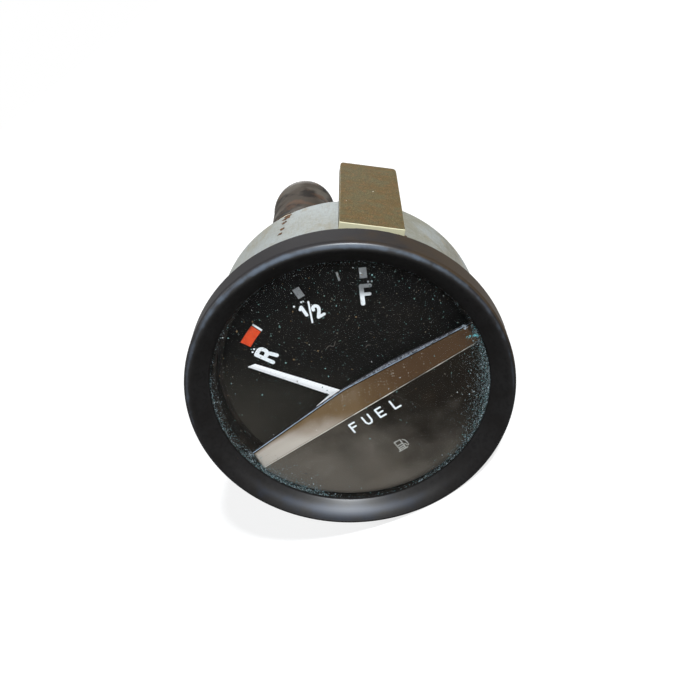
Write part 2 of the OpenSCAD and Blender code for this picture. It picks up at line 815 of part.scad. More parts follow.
module case() color([0.72, 0.74, 0.74]) upright()
    difference() {
        union() {
            rotate_extrude() polygon([
                [case_in_r - eps, 0], [case_r - neck_cut, 0], [case_r - neck_cut, tab_t],
                [flange_r, tab_t], [flange_r, flange_z], [case_in_r, flange_z], [case_in_r, 0]
            ]);
            ring(case_r, case_in_r, back_z + case_edge_r, 0);
            disc(case_r - case_edge_r, back_z, floor_z);
            rotate_extrude() intersection() {
                translate([case_r - case_edge_r, back_z + case_edge_r]) circle(r = case_edge_r);
                translate([case_in_r - case_edge_r, back_z]) square(2 * case_edge_r);
            }
            ring(case_r - case_edge_r + eps, case_in_r - case_edge_r, back_z, floor_z);
        }
        disc(case_in_r, floor_z, flange_z + cut);
        for (i = [0 : tab_count - 1]) {
            mid = tab_first + lock_turn + i * 360 / tab_count;
            half = (tab_span + notch_play) / 2;
            intersection() {
                ring(flange_r + cut, tab_in_r - notch_gap, tab_t - cut, flange_z + cut);
                wedge(mid - half, mid + half, bezel_r, tab_t - cut, flange_z + cut);
            }
        }
        for (s = [-1, 1]) at_strap(s * stud_pitch / 2, 0)
            disc(stud_hole_r, back_z - cut, floor_z + cut);
        for (s = [-1, 1]) at_strap(s * terminal_pitch / 2, terminal_side)
            disc(terminal_hole_r, back_z - cut, floor_z + cut);
        for (p = adjuster_points) translate(p) disc(adjuster_hole_r, back_z - cut, floor_z + cut);
        at_lamp() disc(lamp_hole_r, back_z - cut, floor_z + cut);
    }

module mounting_studs() color([0.7, 0.66, 0.5]) upright()
    for (s = [-1, 1]) at_strap(s * stud_pitch / 2, 0) {
        disc(stud_head_r, frame_z, frame_z + stud_head_t);
        disc(stud_neck_r, frame_back_z - eps, frame_z + eps);
        disc(stud_shoulder_r, floor_z, frame_back_z);
        disc(stud_r, stud_end_z, floor_z + eps);
    }

// Where each stud's washer starts: the earth tab lies under the lower stud's washer
function washer_z(s) = back_z - (s < 0 ? earth_tab_t : 0);

module stud_washers() color([0.5, 0.5, 0.48]) upright()
    for (s = [-1, 1]) at_strap(s * stud_pitch / 2, 0)
        ring(washer_r, stud_r + run_gap, washer_z(s) - washer_t, washer_z(s));

module stud_nuts() color([0.7, 0.66, 0.5]) upright()
    for (s = [-1, 1]) at_strap(s * stud_pitch / 2, 0)
        difference() {
            translate([0, 0, washer_z(s) - washer_t - hex_t])
                cylinder(h = hex_t, d = hex_d, $fn = 6);
            disc(stud_r + fit_gap, washer_z(s) - washer_t - hex_t - cut, washer_z(s));
        }

// A blade with chamfered corners and a detent hole, standing on z = 0 towards -Z
module blade(len) {
    translate([0, blade_t / 2, 0]) rotate([90, 0, 0]) linear_extrude(blade_t)
        difference() {
            polygon([
                [-blade_w / 2, 0], [-blade_w / 2, blade_chamfer - len],
                [blade_chamfer - blade_w / 2, -len], [blade_w / 2 - blade_chamfer, -len],
                [blade_w / 2, blade_chamfer - len], [blade_w / 2, 0]
            ]);
            translate([0, detent_edge - len]) circle(r = detent_r);
        }
}

module earth_tab() color([0.75, 0.73, 0.6]) upright()
    at_strap(-stud_pitch / 2, 0) difference() {
        union() {
            disc(washer_r, back_z - earth_tab_t, back_z);
            translate([-earth_blade_side / 2, 0, 0])
                slab(earth_blade_side, blade_w, back_z - earth_tab_t, back_z);
            translate([blade_t / 2 - earth_blade_side, 0, back_z]) rotate([0, 0, 90])
                blade(earth_blade_len);
        }
        disc(stud_hole_r, back_z - earth_tab_t - cut, back_z + cut);
    }

module clamp_bracket() color([0.5, 0.43, 0.25]) upright()
    difference() {
        rotate([0, 0, -strap_angle]) rotate([90, 0, 90])
            translate([0, 0, -strap_w / 2]) linear_extrude(strap_w) difference() {
                strap_outline(leg_out, strap_back_z, bend_r);
                strap_outline(leg_in, strap_front_z, bend_r - strap_t);
            }
        for (s = [-1, 1]) at_strap(s * stud_pitch / 2, 0)
            disc(strap_hole_r, strap_back_z - cut, strap_front_z + cut);
        at_lamp() disc(boot_r + relief_gap, strap_back_z - cut, strap_front_z + cut);
    }

// The strap's side view filled in: open at the feet, with rounded corners at the back
module strap_outline(half, z, r) {
    polygon([
        [-half, -panel_gap], [-half, z + r], [r - half, z + r], [r - half, z],
        [half - r, z], [half - r, z + r], [half, z + r], [half, -panel_gap]
    ]);
    for (s = [-1, 1]) translate([s * (half - r), z + r]) circle(r = r);
}

module bracket_washers() color([0.5, 0.5, 0.48]) upright()
    for (s = [-1, 1]) at_strap(s * stud_pitch / 2, 0)
        ring(washer_r, strap_hole_r, nut_z, strap_back_z);

// A knurled nut: a plain collar against the washer, and a fluted grip behind it
module knurled_nut(s) {
    at_strap(s * stud_pitch / 2, 0) difference() {
        union() {
            disc(collar_r, nut_z - nut_collar, nut_z);
            disc(nut_r, nut_z - nut_collar - nut_grip, nut_z - nut_collar + eps);
        }
        disc(stud_r + run_gap, nut_z - nut_collar - nut_grip - cut, nut_z + cut);
        for (i = [0 : flute_count - 1]) rotate([0, 0, i * 360 / flute_count])
            translate([nut_r + flute_out, 0, 0])
                disc(flute_r, nut_z - nut_collar - nut_grip - cut, nut_z - nut_collar + cut);
    }
}

module knurled_nut_upper() color([0.72, 0.6, 0.32]) upright() knurled_nut(1);

module knurled_nut_lower() color([0.72, 0.6, 0.32]) upright() knurled_nut(-1);

module lamp_holder() color([0.72, 0.62, 0.35]) upright()
    at_lamp() difference() {
        union() {
            disc(holder_r, holder_back_z, holder_front_z);
            disc(boot_r, boot_z, back_z);
        }
        disc(holder_r - holder_t, holder_back_z - cut, holder_front_z + cut);
        for (a = [0, 90]) rotate([0, 0, a])
            slab(slit_w, 4 * holder_r, back_z + slit_root, holder_front_z + cut);
    }

// The outline of the boot, or of its inside when wall is not 0
function boot_outline(wall) = concat(
    [[0, boot_z], [boot_r - wall, boot_z]],
    [for (a = [0 : 9 : 90])
        [(boot_r - wall) * cos(a), boot_end_z - (boot_dome - wall) * sin(a)]]
);

module lamp_boot() color([0.25, 0.2, 0.18]) upright()
    at_lamp() difference() {
        rotate_extrude() polygon(boot_outline(0));
        translate([0, 0, eps]) rotate_extrude() polygon(boot_outline(boot_wall));
        disc(wire_inlet_r, boot_end_z - 2 * boot_dome, boot_end_z);
    }

module lamp_cap() color([0.8, 0.7, 0.4]) upright()
    at_lamp() disc(cap_r, cap_back_z, cap_front_z);

module lamp_glass() color([0.9, 0.9, 0.85, 0.5]) upright()
    at_lamp() {
        disc(lamp_neck_r, cap_front_z, lamp_c_z);
        translate([0, 0, lamp_c_z]) sphere(r = lamp_r);
    }

module lamp_contact() color([0.8, 0.65, 0.3]) upright()
    at_lamp() {
        disc(contact_head_r, cap_back_z - contact_head_t, cap_back_z);
        disc(contact_r, cap_back_z - contact_len, cap_back_z - contact_head_t + eps);
    }

module lamp_insulator() color([0.5, 0.35, 0.2]) upright() {
    disc_z = cap_back_z - lamp_disc_gap;
    at_lamp() difference() {
        disc(holder_r - holder_t, disc_z - lamp_disc_t, disc_z);
        disc(contact_r + run_gap, disc_z - lamp_disc_t - cut, disc_z + cut);
    }
}

module terminal_blade(s) {
    at_strap(s * terminal_pitch / 2, terminal_side) difference() {
        union() {
            translate([(blade_side - rivet_head_r) / 2, 0, 0])
                slab(blade_side + rivet_head_r, blade_w, blade_z - blade_t, blade_z);
            translate([blade_side - blade_t / 2, 0, blade_z]) rotate([0, 0, 90])
                blade(blade_len);
        }
        disc(rivet_r + fit_gap, blade_z - blade_t - cut, blade_z + cut);
    }
}

module terminal_blade_upper() color([0.78, 0.7, 0.5]) upright() terminal_blade(1);

module terminal_blade_lower() color([0.78, 0.7, 0.5]) upright() terminal_blade(-1);

module terminal_insulators() color([0.35, 0.2, 0.12]) upright()
    for (s = [-1, 1]) at_strap(s * terminal_pitch / 2, terminal_side) {
        difference() {
            union() {
                disc(insulator_r, blade_z, back_z);
                disc(sleeve_r, back_z - eps, floor_z);
            }
            disc(rivet_r + fit_gap, blade_z - cut, floor_z + cut);
        }
        ring(inner_washer_r, rivet_r + fit_gap, floor_z, floor_z + inner_washer_t);
    }

module terminal_rivets() color([0.78, 0.7, 0.5]) upright()
    for (s = [-1, 1]) at_strap(s * terminal_pitch / 2, terminal_side) {
        disc(rivet_r, blade_z - blade_t - eps, floor_z + inner_washer_t + eps);
        disc(rivet_head_r, blade_z - blade_t - rivet_head_t, blade_z - blade_t);
        disc(rivet_head_r, floor_z + inner_washer_t, floor_z + inner_washer_t + rivet_head_t);
    }

// A wire from one rivet's head, along one level, to one jaw of the strip anchor
module link_wire(s) {
    from = strap_point(s * terminal_pitch / 2, terminal_side);
    to = root_point + [0, s * (jaw_gap + jaw_t / 2)];
    rise = [from[0], from[1], wire_z];
    over = [to[0], to[1], wire_z];
    wire([from[0], from[1], floor_z + inner_washer_t + rivet_head_t], rise, true);
    wire(rise, over, true);
    wire(over, [to[0], to[1], jaw_z], false);
}

module link_wires() color([0.7, 0.25, 0.15]) upright()
    for (s = [-1, 1]) link_wire(s);

bezel();
glass();
glass_seal();
dial_mask();
dial_plate();
scale_marks();
reserve_mark();
dial_screws();
dial_pillars();
pointer();
pointer_hub();
pointer_balance();
pointer_spindle();
pointer_crank();
movement_frame();
front_bush();
rear_bridge();
rear_bush();
bridge_screws();
bimetal_strip();
bimetal_fork();
heater_winding();
strip_anchor();
anchor_screws();
zero_adjuster();
range_adjuster();
adjuster_plugs();
case();
mounting_studs();
stud_washers();
stud_nuts();
earth_tab();
clamp_bracket();
bracket_washers();
knurled_nut_upper();
knurled_nut_lower();
lamp_holder();
lamp_boot();
lamp_cap();
lamp_glass();
lamp_contact();
lamp_insulator();
terminal_blade_upper();
terminal_blade_lower();
terminal_insulators();
terminal_rivets();
link_wires();
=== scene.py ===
"""A car's fuel gauge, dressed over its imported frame.

Lengths are millimetres on the gauge's own axes: x to the right, y up the dial and z towards the
driver, with z = 0 at the back of the bezel. `to_frame` turns them into the frame's metres, where
x stays, depth grows away from the driver and height is up. Dial angles are in degrees, clockwise
from the top.
"""
import json
import logging
import math
from dataclasses import dataclass
from enum import Enum
from typing import Callable, Optional, Sequence

import bmesh
import bpy
import numpy as np
from mathutils import Matrix, Vector

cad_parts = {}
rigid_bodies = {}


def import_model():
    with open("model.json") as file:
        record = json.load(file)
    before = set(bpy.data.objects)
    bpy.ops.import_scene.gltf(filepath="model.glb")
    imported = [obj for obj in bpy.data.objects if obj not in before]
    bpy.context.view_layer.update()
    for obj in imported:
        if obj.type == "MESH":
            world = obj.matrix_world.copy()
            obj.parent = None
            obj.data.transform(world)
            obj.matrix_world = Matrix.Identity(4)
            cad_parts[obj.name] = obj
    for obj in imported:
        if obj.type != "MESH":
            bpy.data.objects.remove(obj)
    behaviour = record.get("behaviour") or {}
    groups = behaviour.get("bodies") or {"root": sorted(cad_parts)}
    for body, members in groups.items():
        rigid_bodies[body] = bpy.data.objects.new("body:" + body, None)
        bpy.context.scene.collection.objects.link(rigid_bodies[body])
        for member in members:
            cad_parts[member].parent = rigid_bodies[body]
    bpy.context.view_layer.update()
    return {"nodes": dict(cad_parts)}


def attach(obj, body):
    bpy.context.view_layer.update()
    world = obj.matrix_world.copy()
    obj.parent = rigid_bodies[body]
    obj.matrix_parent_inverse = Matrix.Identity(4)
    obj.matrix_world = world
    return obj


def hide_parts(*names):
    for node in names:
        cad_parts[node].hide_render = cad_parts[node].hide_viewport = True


for leftover in list(bpy.data.objects):
    bpy.data.objects.remove(leftover)
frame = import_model()

log = logging.getLogger("fuel gauge")

# A millimetre in the frame's metres, and a full turn
MM = 0.001
TURN = 2 * math.pi
# The pointer's pivot, and the x and y of the strap's direction across the case
PIVOT = (0.0, -9.1)
STRAP = (0.6807, 0.7325)
# Depths of the dial's face, the glass's face and the case's back
DIAL_Z = -2.66
GLASS_Z = 3.2
BACK_Z = -21.7
# Directions on the gauge's axes
RIGHT = (1.0, 0.0, 0.0)
UP = (0.0, 1.0, 0.0)
AHEAD = (0.0, 0.0, 1.0)

# A linear colour, three numbers such as a place, a place on a plane, and node sockets
Colour = tuple[float, float, float, float]
Place = tuple[float, float, float]
Spot = tuple[float, float]
Socket = bpy.types.NodeSocket
Sockets = bpy.types.bpy_prop_collection


def paint(red: float, green: float, blue: float) -> Colour:
    """Turns a screen colour of 0 to 255 into a linear one.

    Args:
        red: Red, 0 to 255.
        green: Green, 0 to 255.
        blue: Blue, 0 to 255.

    Returns:
        The linear colour with full alpha.
    """
    value = np.array([red, green, blue]) / 255.0
    linear = np.where(value <= 0.04045, value / 12.92, ((value + 0.055) / 1.055) ** 2.4)
    return (float(linear[0]), float(linear[1]), float(linear[2]), 1.0)


class Body(Enum):
    """The moving bodies of the gauge."""

    GAUGE = "gauge"
    BEZEL = "bezel_ring"
    POINTER = "pointer_arbor"
    STRIP = "bimetal_arm"
    ZERO = "zero_spindle"
    RANGE = "range_spindle"
    BRACKET = "bracket"
    NUT_UPPER = "nut_upper"
    NUT_LOWER = "nut_lower"
    LAMP = "lamp"


class Pattern(Enum):
    """The patterns in the finishes; all but the sweep are shared node groups."""

    CLOUD = "soft clouds"
    SPECK = "scattered specks"
    WORN = "worn edges"
    GRAIN = "fine grain"
    SWEEP = "from one side to the other"


CLOUD, SPECK, WORN, GRAIN, SWEEP = Pattern


@dataclass(frozen=True)
class Layer:
    """A second colour that lies over a finish where its pattern does.

    CLOUD covers noise from low to high, SPECK covers a share (high) of cells with dots of a
    size (low), and WORN covers the mesh's mark, broken up by noise, from low to high. SWEEP
    rises from low to high millimetres along the stretch taken as a direction.
    """

    pattern: Pattern
    colour: Colour
    strength: float
    scale: float
    low: float
    high: float
    stretch: Place = (1.0, 1.0, 1.0)
    rough: Optional[float] = None
    metal: Optional[float] = None
    mark: str = "wear"


class NodeBench:
    """Adds nodes to one tree. The node groups that finishes share are built once each."""

    groups: dict[Pattern, bpy.types.NodeTree] = {}

    def __init__(self, tree: bpy.types.NodeTree) -> None:
        """Takes the tree that nodes are added to."""
        self.tree = tree

    def node(self, kind: str) -> bpy.types.Node:
        """Adds a node of a kind."""
        return self.tree.nodes.new("ShaderNode" + kind)

    def feed(self, socket: Socket, value: object) -> None:
        """Links an output to a socket, or sets the socket to a number or colour.

        Args:
            socket: The input.
            value: An output socket or a plain value.
        """
        if isinstance(value, Socket):
            self.tree.links.new(value, socket)
        else:
            socket.default_value = value

    def maths(self, operation: str, first: object, second: object) -> Socket:
        """Adds one sum of two values.

        Args:
            operation: Blender's name for the sum.
            first: The first value or output.
            second: The second value or output.

        Returns:
            The result's socket.
        """
        node = self.node("Math")
        node.operation = operation
        self.feed(node.inputs[0], first)
        self.feed(node.inputs[1], second)
        return node.outputs[0]

    def ramp(self, value: object, low: object, high: object) -> Socket:
        """Adds a smooth step that is 0 at low and 1 at high.

        Args:
            value: What is read.
            low: Where the step starts.
            high: Where it ends.

        Returns:
            The step's socket.
        """
        node = self.node("MapRange")
        node.interpolation_type = "SMOOTHSTEP"
        self.feed(node.inputs["Value"], value)
        self.feed(node.inputs["From Min"], low)
        self.feed(node.inputs["From Max"], high)
        return node.outputs["Result"]

    def mixed(self, share: object, under: object, over: object, colour: bool = False) -> Socket:
        """Adds a mix of two numbers or two colours.

        Args:
            share: How much of the second shows.
            under: The first.
            over: The second.
            colour: True for colours.

        Returns:
            The mix's socket.
        """
        node = self.node("Mix")
        node.data_type = "RGBA" if colour else "FLOAT"
        first, second, out = (6, 7, 2) if colour else (2, 3, 0)
        self.feed(node.inputs[0], share)
        self.feed(node.inputs[first], under)
        self.feed(node.inputs[second], over)
        return node.outputs[out]

    def spot(self, stretch: Place = (1.0, 1.0, 1.0)) -> Socket:
        """Adds the object's own coordinates in millimetres, stretched along the axes.

        Args:
            stretch: How much finer the pattern is along each axis.

        Returns:
            The coordinates' socket.
        """
        scaled = self.node("Mapping")
        scaled.inputs["Scale"].default_value = [part / MM for part in stretch]
        self.feed(scaled.inputs["Vector"], self.node("TexCoord").outputs["Object"])
        return scaled.outputs["Vector"]

    def mark(self, name: str, output: str = "Fac") -> Socket:
        """Reads a mark that a mesh carries.

        Args:
            name: The mark's name.
            output: Color to read it as a colour.

        Returns:
            The mark's socket.
        """
        node = self.node("Attribute")
        node.attribute_name = name
        return node.outputs[output]

    def place(self, pattern: Pattern, **values: object) -> Socket:
        """Puts a shared group in the tree, and builds the group when it is first asked for.

        Args:
            pattern: The group's pattern.
            **values: What each named input gets.

        Returns:
            The group's output.
        """
        if pattern not in self.groups:
            self.groups[pattern] = GroupBench(pattern).build()
        node = self.node("Group")
        node.node_tree = self.groups[pattern]
        for label, value in values.items():
            self.feed(node.inputs[label], value)
        return node.outputs[0]


class GroupBench(NodeBench):
    """Builds one of the shared groups, which read a vector and a few numbers."""

    inputs = {
        CLOUD: {"Scale": 1.0, "Detail": 4.0, "Low": 0.4, "High": 0.6},
        SPECK: {"Scale": 1.0, "Size": 0.2, "Share": 0.2},
        WORN: {"Mark": 0.0, "Scale": 1.0, "Low": 0.5, "High": 0.8},
        GRAIN: {"Scale": 1.0}}

    def __init__(self, pattern: Pattern) -> None:
        """Starts the pattern's group with its named sockets.

        Args:
            pattern: The pattern, whose value names the group.
        """
        super().__init__(bpy.data.node_groups.new(pattern.value, "ShaderNodeTree"))
        self.pattern = pattern
        face = self.tree.interface
        face.new_socket("Vector", in_out="INPUT", socket_type="NodeSocketVector")
        for label, value in self.inputs[pattern].items():
            socket = face.new_socket(label, in_out="INPUT", socket_type="NodeSocketFloat")
            socket.default_value = value
        face.new_socket("Mask", in_out="OUTPUT", socket_type="NodeSocketFloat")
        self.given = self.tree.nodes.new("NodeGroupInput").outputs

    def texture(self, kind: str, *labels: str) -> bpy.types.Node:
        """Adds a texture whose named inputs come from the group's.

        Args:
            kind: The texture's kind.
            *labels: The inputs.

        Returns:
            The texture's node.
        """
        node = self.node(kind)
        for label in labels:
            self.feed(node.inputs[label], self.given[label])
        return node

    def cloud(self) -> Socket:
        """Turns noise between Low and High into a mask."""
        noise = self.texture("TexNoise", "Vector", "Scale", "Detail")
        return self.ramp(noise.outputs["Fac"], self.given["Low"], self.given["High"])

    def speck(self) -> Socket:
        """Puts a dot of Size, more or less, in a Share of random cells.

        Returns:
            The dots' mask.
        """
        cells = self.texture("TexVoronoi", "Vector", "Scale")
        split = self.node("SeparateColor")
        self.feed(split.inputs[0], cells.outputs["Color"])
        size = self.maths("MULTIPLY", self.given["Size"],
                          self.maths("ADD", split.outputs[0], 0.4))
        dot = self.ramp(cells.outputs["Distance"], size, self.maths("MULTIPLY", size, 0.6))
        chosen = self.maths("LESS_THAN", split.outputs[1], self.given["Share"])
        return self.maths("MULTIPLY", dot, chosen)

    def worn(self) -> Socket:
        """Breaks a mesh's mark up with noise, then cuts it between Low and High.

        Returns:
            The broken mark.
        """
        noise = self.texture("TexNoise", "Vector", "Scale")
        noise.inputs["Detail"].default_value = 5.0
        uneven = self.maths("SUBTRACT", noise.outputs["Fac"], 0.5)
        total = self.maths("ADD", self.given["Mark"], uneven)
        return self.ramp(total, self.given["Low"], self.given["High"])

    def grain(self) -> Socket:
        """Gives a fine uneven height.

        Returns:
            The height.
        """
        noise = self.texture("TexNoise", "Vector", "Scale")
        noise.inputs["Detail"].default_value = 6.0
        noise.inputs["Roughness"].default_value = 0.62
        return noise.outputs["Fac"]

    def build(self) -> bpy.types.NodeTree:
        """Fills the group in with its pattern's nodes.

        Returns:
            The group.
        """
        ways = {CLOUD: self.cloud, SPECK: self.speck, WORN: self.worn, GRAIN: self.grain}
        result = self.tree.nodes.new("NodeGroupOutput")
        self.feed(result.inputs["Mask"], ways[self.pattern]())
        return self.tree


@dataclass(frozen=True)
class Surface:
    """What every finish has: a name, the record's slot and a material that is built once."""

    name: str
    slot: str

    def material(self) -> bpy.types.Material:
        """Builds the finish's material the first time it is asked for.

        Returns:
            The material.
        """
        if self.name in bpy.data.materials:
            return bpy.data.materials[self.name]
        made = bpy.data.materials.new(self.name)
        made.use_nodes = True
        self.dress(NodeBench(made.node_tree), made.node_tree.nodes["Principled BSDF"].inputs)
        return made

    def dress(self, bench: NodeBench, shader: Sockets) -> None:
        """Sets up the material's shader, in each kind of finish its own way.

        Args:
            bench: Adds nodes to the material.
            shader: The shader's inputs.
        """
        raise NotImplementedError


@dataclass(frozen=True)
class Finish(Surface):
    """A solid finish: a plain shader, layers of second colours and a fine grain.

    A gloss mark is a mark on the mesh that says where the clear coat lies.
    """

    colour: Colour
    roughness: float
    metallic: float = 0.0
    specular: float = 0.5
    coat_roughness: float = 0.1
    coat_ior: float = 1.5
    gloss_mark: Optional[str] = None
    grain_scale: float = 0.0
    grain_depth: float = 0.0
    grain_stretch: Place = (1.0, 1.0, 1.0)
    layers: tuple[Layer, ...] = ()

    @staticmethod
    def mask(bench: NodeBench, layer: Layer) -> Socket:
        """Adds one layer's mask.

        Args:
            bench: Adds nodes to the material.
            layer: The layer.

        Returns:
            The mask times the layer's strength.
        """
        if layer.pattern is SWEEP:
            along = bench.node("VectorMath")
            along.operation = "DOT_PRODUCT"
            bench.feed(along.inputs[0], bench.spot())
            bench.feed(along.inputs[1], layer.stretch)
            mask = bench.ramp(along.outputs["Value"], layer.low, layer.high)
            return bench.maths("MULTIPLY", mask, layer.strength)
        low, high = ("Size", "Share") if layer.pattern is SPECK else ("Low", "High")
        given = {"Vector": bench.spot(layer.stretch), "Scale": layer.scale, low: layer.low,
                 high: layer.high}
        if layer.pattern is WORN:
            given["Mark"] = bench.mark(layer.mark)
        return bench.maths("MULTIPLY", bench.place(layer.pattern, **given), layer.strength)

    def dress(self, bench: NodeBench, shader: Sockets) -> None:
        """Lays the layers over the plain colour, then sets the coat and the grain.

        Args:
            bench: Adds nodes to the material.
            shader: The shader's inputs.
        """
        colour: object = self.colour
        rough: object = self.roughness
        metal: object = self.metallic
        for layer in self.layers:
            mask = self.mask(bench, layer)
            colour = bench.mixed(mask, colour, layer.colour, colour=True)
            if layer.rough is not None:
                rough = bench.mixed(mask, rough, layer.rough)
            if layer.metal is not None:
                metal = bench.mixed(mask, metal, layer.metal)
        bench.feed(shader["Base Color"], colour)
        bench.feed(shader["Roughness"], rough)
        bench.feed(shader["Metallic"], metal)
        bench.feed(shader["Specular IOR Level"], self.specular)
        if self.gloss_mark is not None:
            bench.feed(shader["Coat Weight"], bench.mark(self.gloss_mark))
            bench.feed(shader["Coat Roughness"], self.coat_roughness)
            bench.feed(shader["Coat IOR"], self.coat_ior)
        if self.grain_depth:
            bump = bench.node("Bump")
            bench.feed(bump.inputs["Distance"], self.grain_depth * MM)
            bench.feed(bump.inputs["Height"], bench.place(
                GRAIN, Vector=bench.spot(self.grain_stretch), Scale=self.grain_scale))
            bench.feed(shader["Normal"], bump.outputs["Normal"])


@dataclass(frozen=True)
class SpeckFinish(Surface):
    """Dust, rust or crust whose colour each fleck carries itself."""

    roughness: float = 0.8

    def dress(self, bench: NodeBench, shader: Sockets) -> None:
        """Takes the flecks' own colour, dulled in clouds.

        Args:
            bench: Adds nodes to the material.
            shader: The shader's inputs.
        """
        shade = bench.place(CLOUD, Vector=bench.spot(), Scale=9.0, Low=0.3, High=0.7)
        bench.feed(shader["Base Color"], bench.mixed(
            bench.maths("MULTIPLY", shade, 0.35), bench.mark("tint", "Color"),
            paint(60, 58, 52), colour=True))
        bench.feed(shader["Roughness"], self.roughness)
        bench.feed(shader["Specular IOR Level"], 0.2)


@dataclass(frozen=True)
class CrustFinish(Surface):
    """A thin green-grey bloom that thins out where the mesh's cover mark does."""

    colour: Colour
    second: Colour
    scale: float
    low: float
    high: float
    most: float

    def dress(self, bench: NodeBench, shader: Sockets) -> None:
        """Lets the bloom's cover decide how much of it is seen.

        Args:
            bench: Adds nodes to the material.
            shader: The shader's inputs.
        """
        where = bench.spot()
        cover = bench.place(WORN, Vector=where, Mark=bench.mark("cover"),
                            Scale=self.scale, Low=self.low, High=self.high)
        bench.feed(shader["Alpha"], bench.maths("MULTIPLY", cover, self.most))
        patch = bench.place(CLOUD, Vector=where, Scale=self.scale * 0.6, Low=0.4, High=0.62)
        bench.feed(shader["Base Color"],
                   bench.mixed(patch, self.colour, self.second, colour=True))
        bench.feed(shader["Roughness"], 0.85)
        bench.feed(shader["Specular IOR Level"], 0.2)


@dataclass(frozen=True)
class GlassFinish(Surface):
    """Clear glass, seen through, that gains a little body where it is looked at edge on."""

    colour: Colour
    body: float
    edge: float

    def dress(self, bench: NodeBench, shader: Sockets) -> None:
        """Sets a faint cloudy body, which grows to the edge's where the glass turns away.

        Args:
            bench: Adds nodes to the material.
            shader: The shader's inputs.
        """
        facing = bench.node("LayerWeight")
        bench.feed(facing.inputs["Blend"], 0.25)
        haze = bench.place(CLOUD, Vector=bench.spot(), Scale=0.22, Low=0.3, High=0.75)
        body = bench.maths("ADD", bench.maths("MULTIPLY", haze, 0.5 * self.body), self.body)
        bench.feed(shader["Alpha"], bench.mixed(facing.outputs["Fresnel"], body, self.edge))
        bench.feed(shader["Base Color"], self.colour)
        bench.feed(shader["Roughness"], 0.06)
        bench.feed(shader["Metallic"], 0.0)
        bench.feed(shader["Transmission Weight"], 0.0)


BEZEL_BLACK = Finish(
    "bezel black enamel", "bezel_black", paint(32, 31, 31), 0.38, specular=0.02,
    gloss_mark="gloss", coat_roughness=0.37, coat_ior=1.85, grain_scale=4.0,
    grain_depth=0.002, layers=(
        Layer(CLOUD, paint(24, 22, 21), 0.6, 0.3, 0.35, 0.7, rough=0.3),
        Layer(CLOUD, paint(30, 26, 23), 0.5, 5.0, 0.5, 0.75),
        Layer(CLOUD, paint(23, 22, 22), 0.6, 1.5, 0.45, 0.7, rough=0.4),
        # painted light: the wall painted lighter on its upper, lit side
        Layer(WORN, paint(46, 44, 45), 0.9, 0.3, 0.2, 0.9, rough=0.5, mark="wall"),
        # the wall browner towards the right
        Layer(WORN, paint(60, 49, 37), 0.9, 0.3, 0.3, 1.0, rough=0.5, mark="brown"),
        # painted sheen: a bluish tint where the clear coat gives its highlight
        Layer(WORN, paint(34, 44, 60), 0.9, 0.3, 0.2, 0.9, mark="gloss"),
        # painted highlight: a bluish light line along the crest, strongest on the upper side
        Layer(WORN, paint(82, 92, 104), 0.85, 0.6, 0.35, 1.15, mark="crest"),
        Layer(WORN, paint(58, 58, 64), 0.7, 0.5, 0.45, 1.1, rough=0.32),
        Layer(WORN, paint(132, 134, 138), 0.9, 2.2, 0.98, 1.14, rough=0.4, metal=0.5),
        Layer(SPECK, paint(112, 94, 72), 0.7, 0.7, 0.07, 0.14, rough=0.7),
    ))
MASK_BLACK = Finish(
    "mask brown-black moulding", "mask_black", paint(21, 16, 9), 0.42, specular=0.05,
    gloss_mark="gloss", coat_roughness=0.26,
    grain_scale=2.0, grain_depth=0.0004, layers=(
        # painted reflection: the half-moon lighter towards its lower left
        Layer(WORN, paint(99, 93, 85), 1.0, 0.12, 0.0, 1.0, mark="fade"),
        Layer(WORN, paint(66, 47, 29), 1.0, 0.2, 0.3, 0.6, mark="slope"),
        # painted reflection along the slope, growing towards its left end
        Layer(WORN, paint(104, 84, 58), 1.0, 0.08, 0.0, 1.0, mark="warm"),
        # painted reflection: the slope's left end painted pale
        Layer(WORN, paint(180, 172, 162), 1.0, 0.12, 0.05, 0.95, mark="pale"),
        Layer(CLOUD, paint(60, 50, 38), 0.12, 0.12, 0.38, 0.7, (0.4, 1.0, 1.8)),
        # on the mask, this wear mark paints a highlight along the rim's edge and the fold
        Layer(WORN, paint(212, 206, 194), 1.0, 0.3, 0.35, 0.9, mark="wear"),
        # painted highlight: a bright bluish line on the bead at the foot, stronger to the left
        Layer(WORN, paint(166, 182, 202), 0.95, 1.4, 0.3, 0.75, mark="rim"),
        Layer(WORN, paint(46, 47, 54), 0.8, 1.4, 0.3, 0.75, mark="haze"),
    ))
SKIRT_BLACK = Finish(
    "mask skirt black", "mask_black", paint(24, 21, 18), 0.5, specular=0.1,
    grain_scale=2.0, grain_depth=0.001, layers=(
        Layer(CLOUD, paint(44, 38, 32), 0.7, 0.4, 0.4, 0.7),
        Layer(SPECK, paint(92, 88, 80), 0.5, 2.2, 0.1, 0.3, rough=0.8),
    ))
DIAL_BLACK = Finish(
    "dial satin black", "dial_black", paint(10, 9, 7), 0.55, specular=0.05,
    grain_scale=4.0, grain_depth=0.0008, layers=(
        # painted reflection: the dial lighter towards its lower left
        Layer(SWEEP, paint(56, 53, 47), 1.0, 0.0, -4.0, 26.0, (-1.0, 0.0, -1.0)),
        Layer(CLOUD, paint(24, 21, 17), 0.4, 0.07, 0.35, 0.7),
        Layer(SPECK, paint(70, 64, 56), 0.35, 1.5, 0.1, 0.3, rough=0.8),
    ))
WHITE_PAINT = Finish(
    "white dial paint", "white_paint", paint(244, 249, 252), 0.5, specular=0.3,
    grain_scale=12.0, grain_depth=0.001, layers=(
        Layer(CLOUD, paint(230, 236, 240), 0.5, 1.2, 0.4, 0.7),
    ))
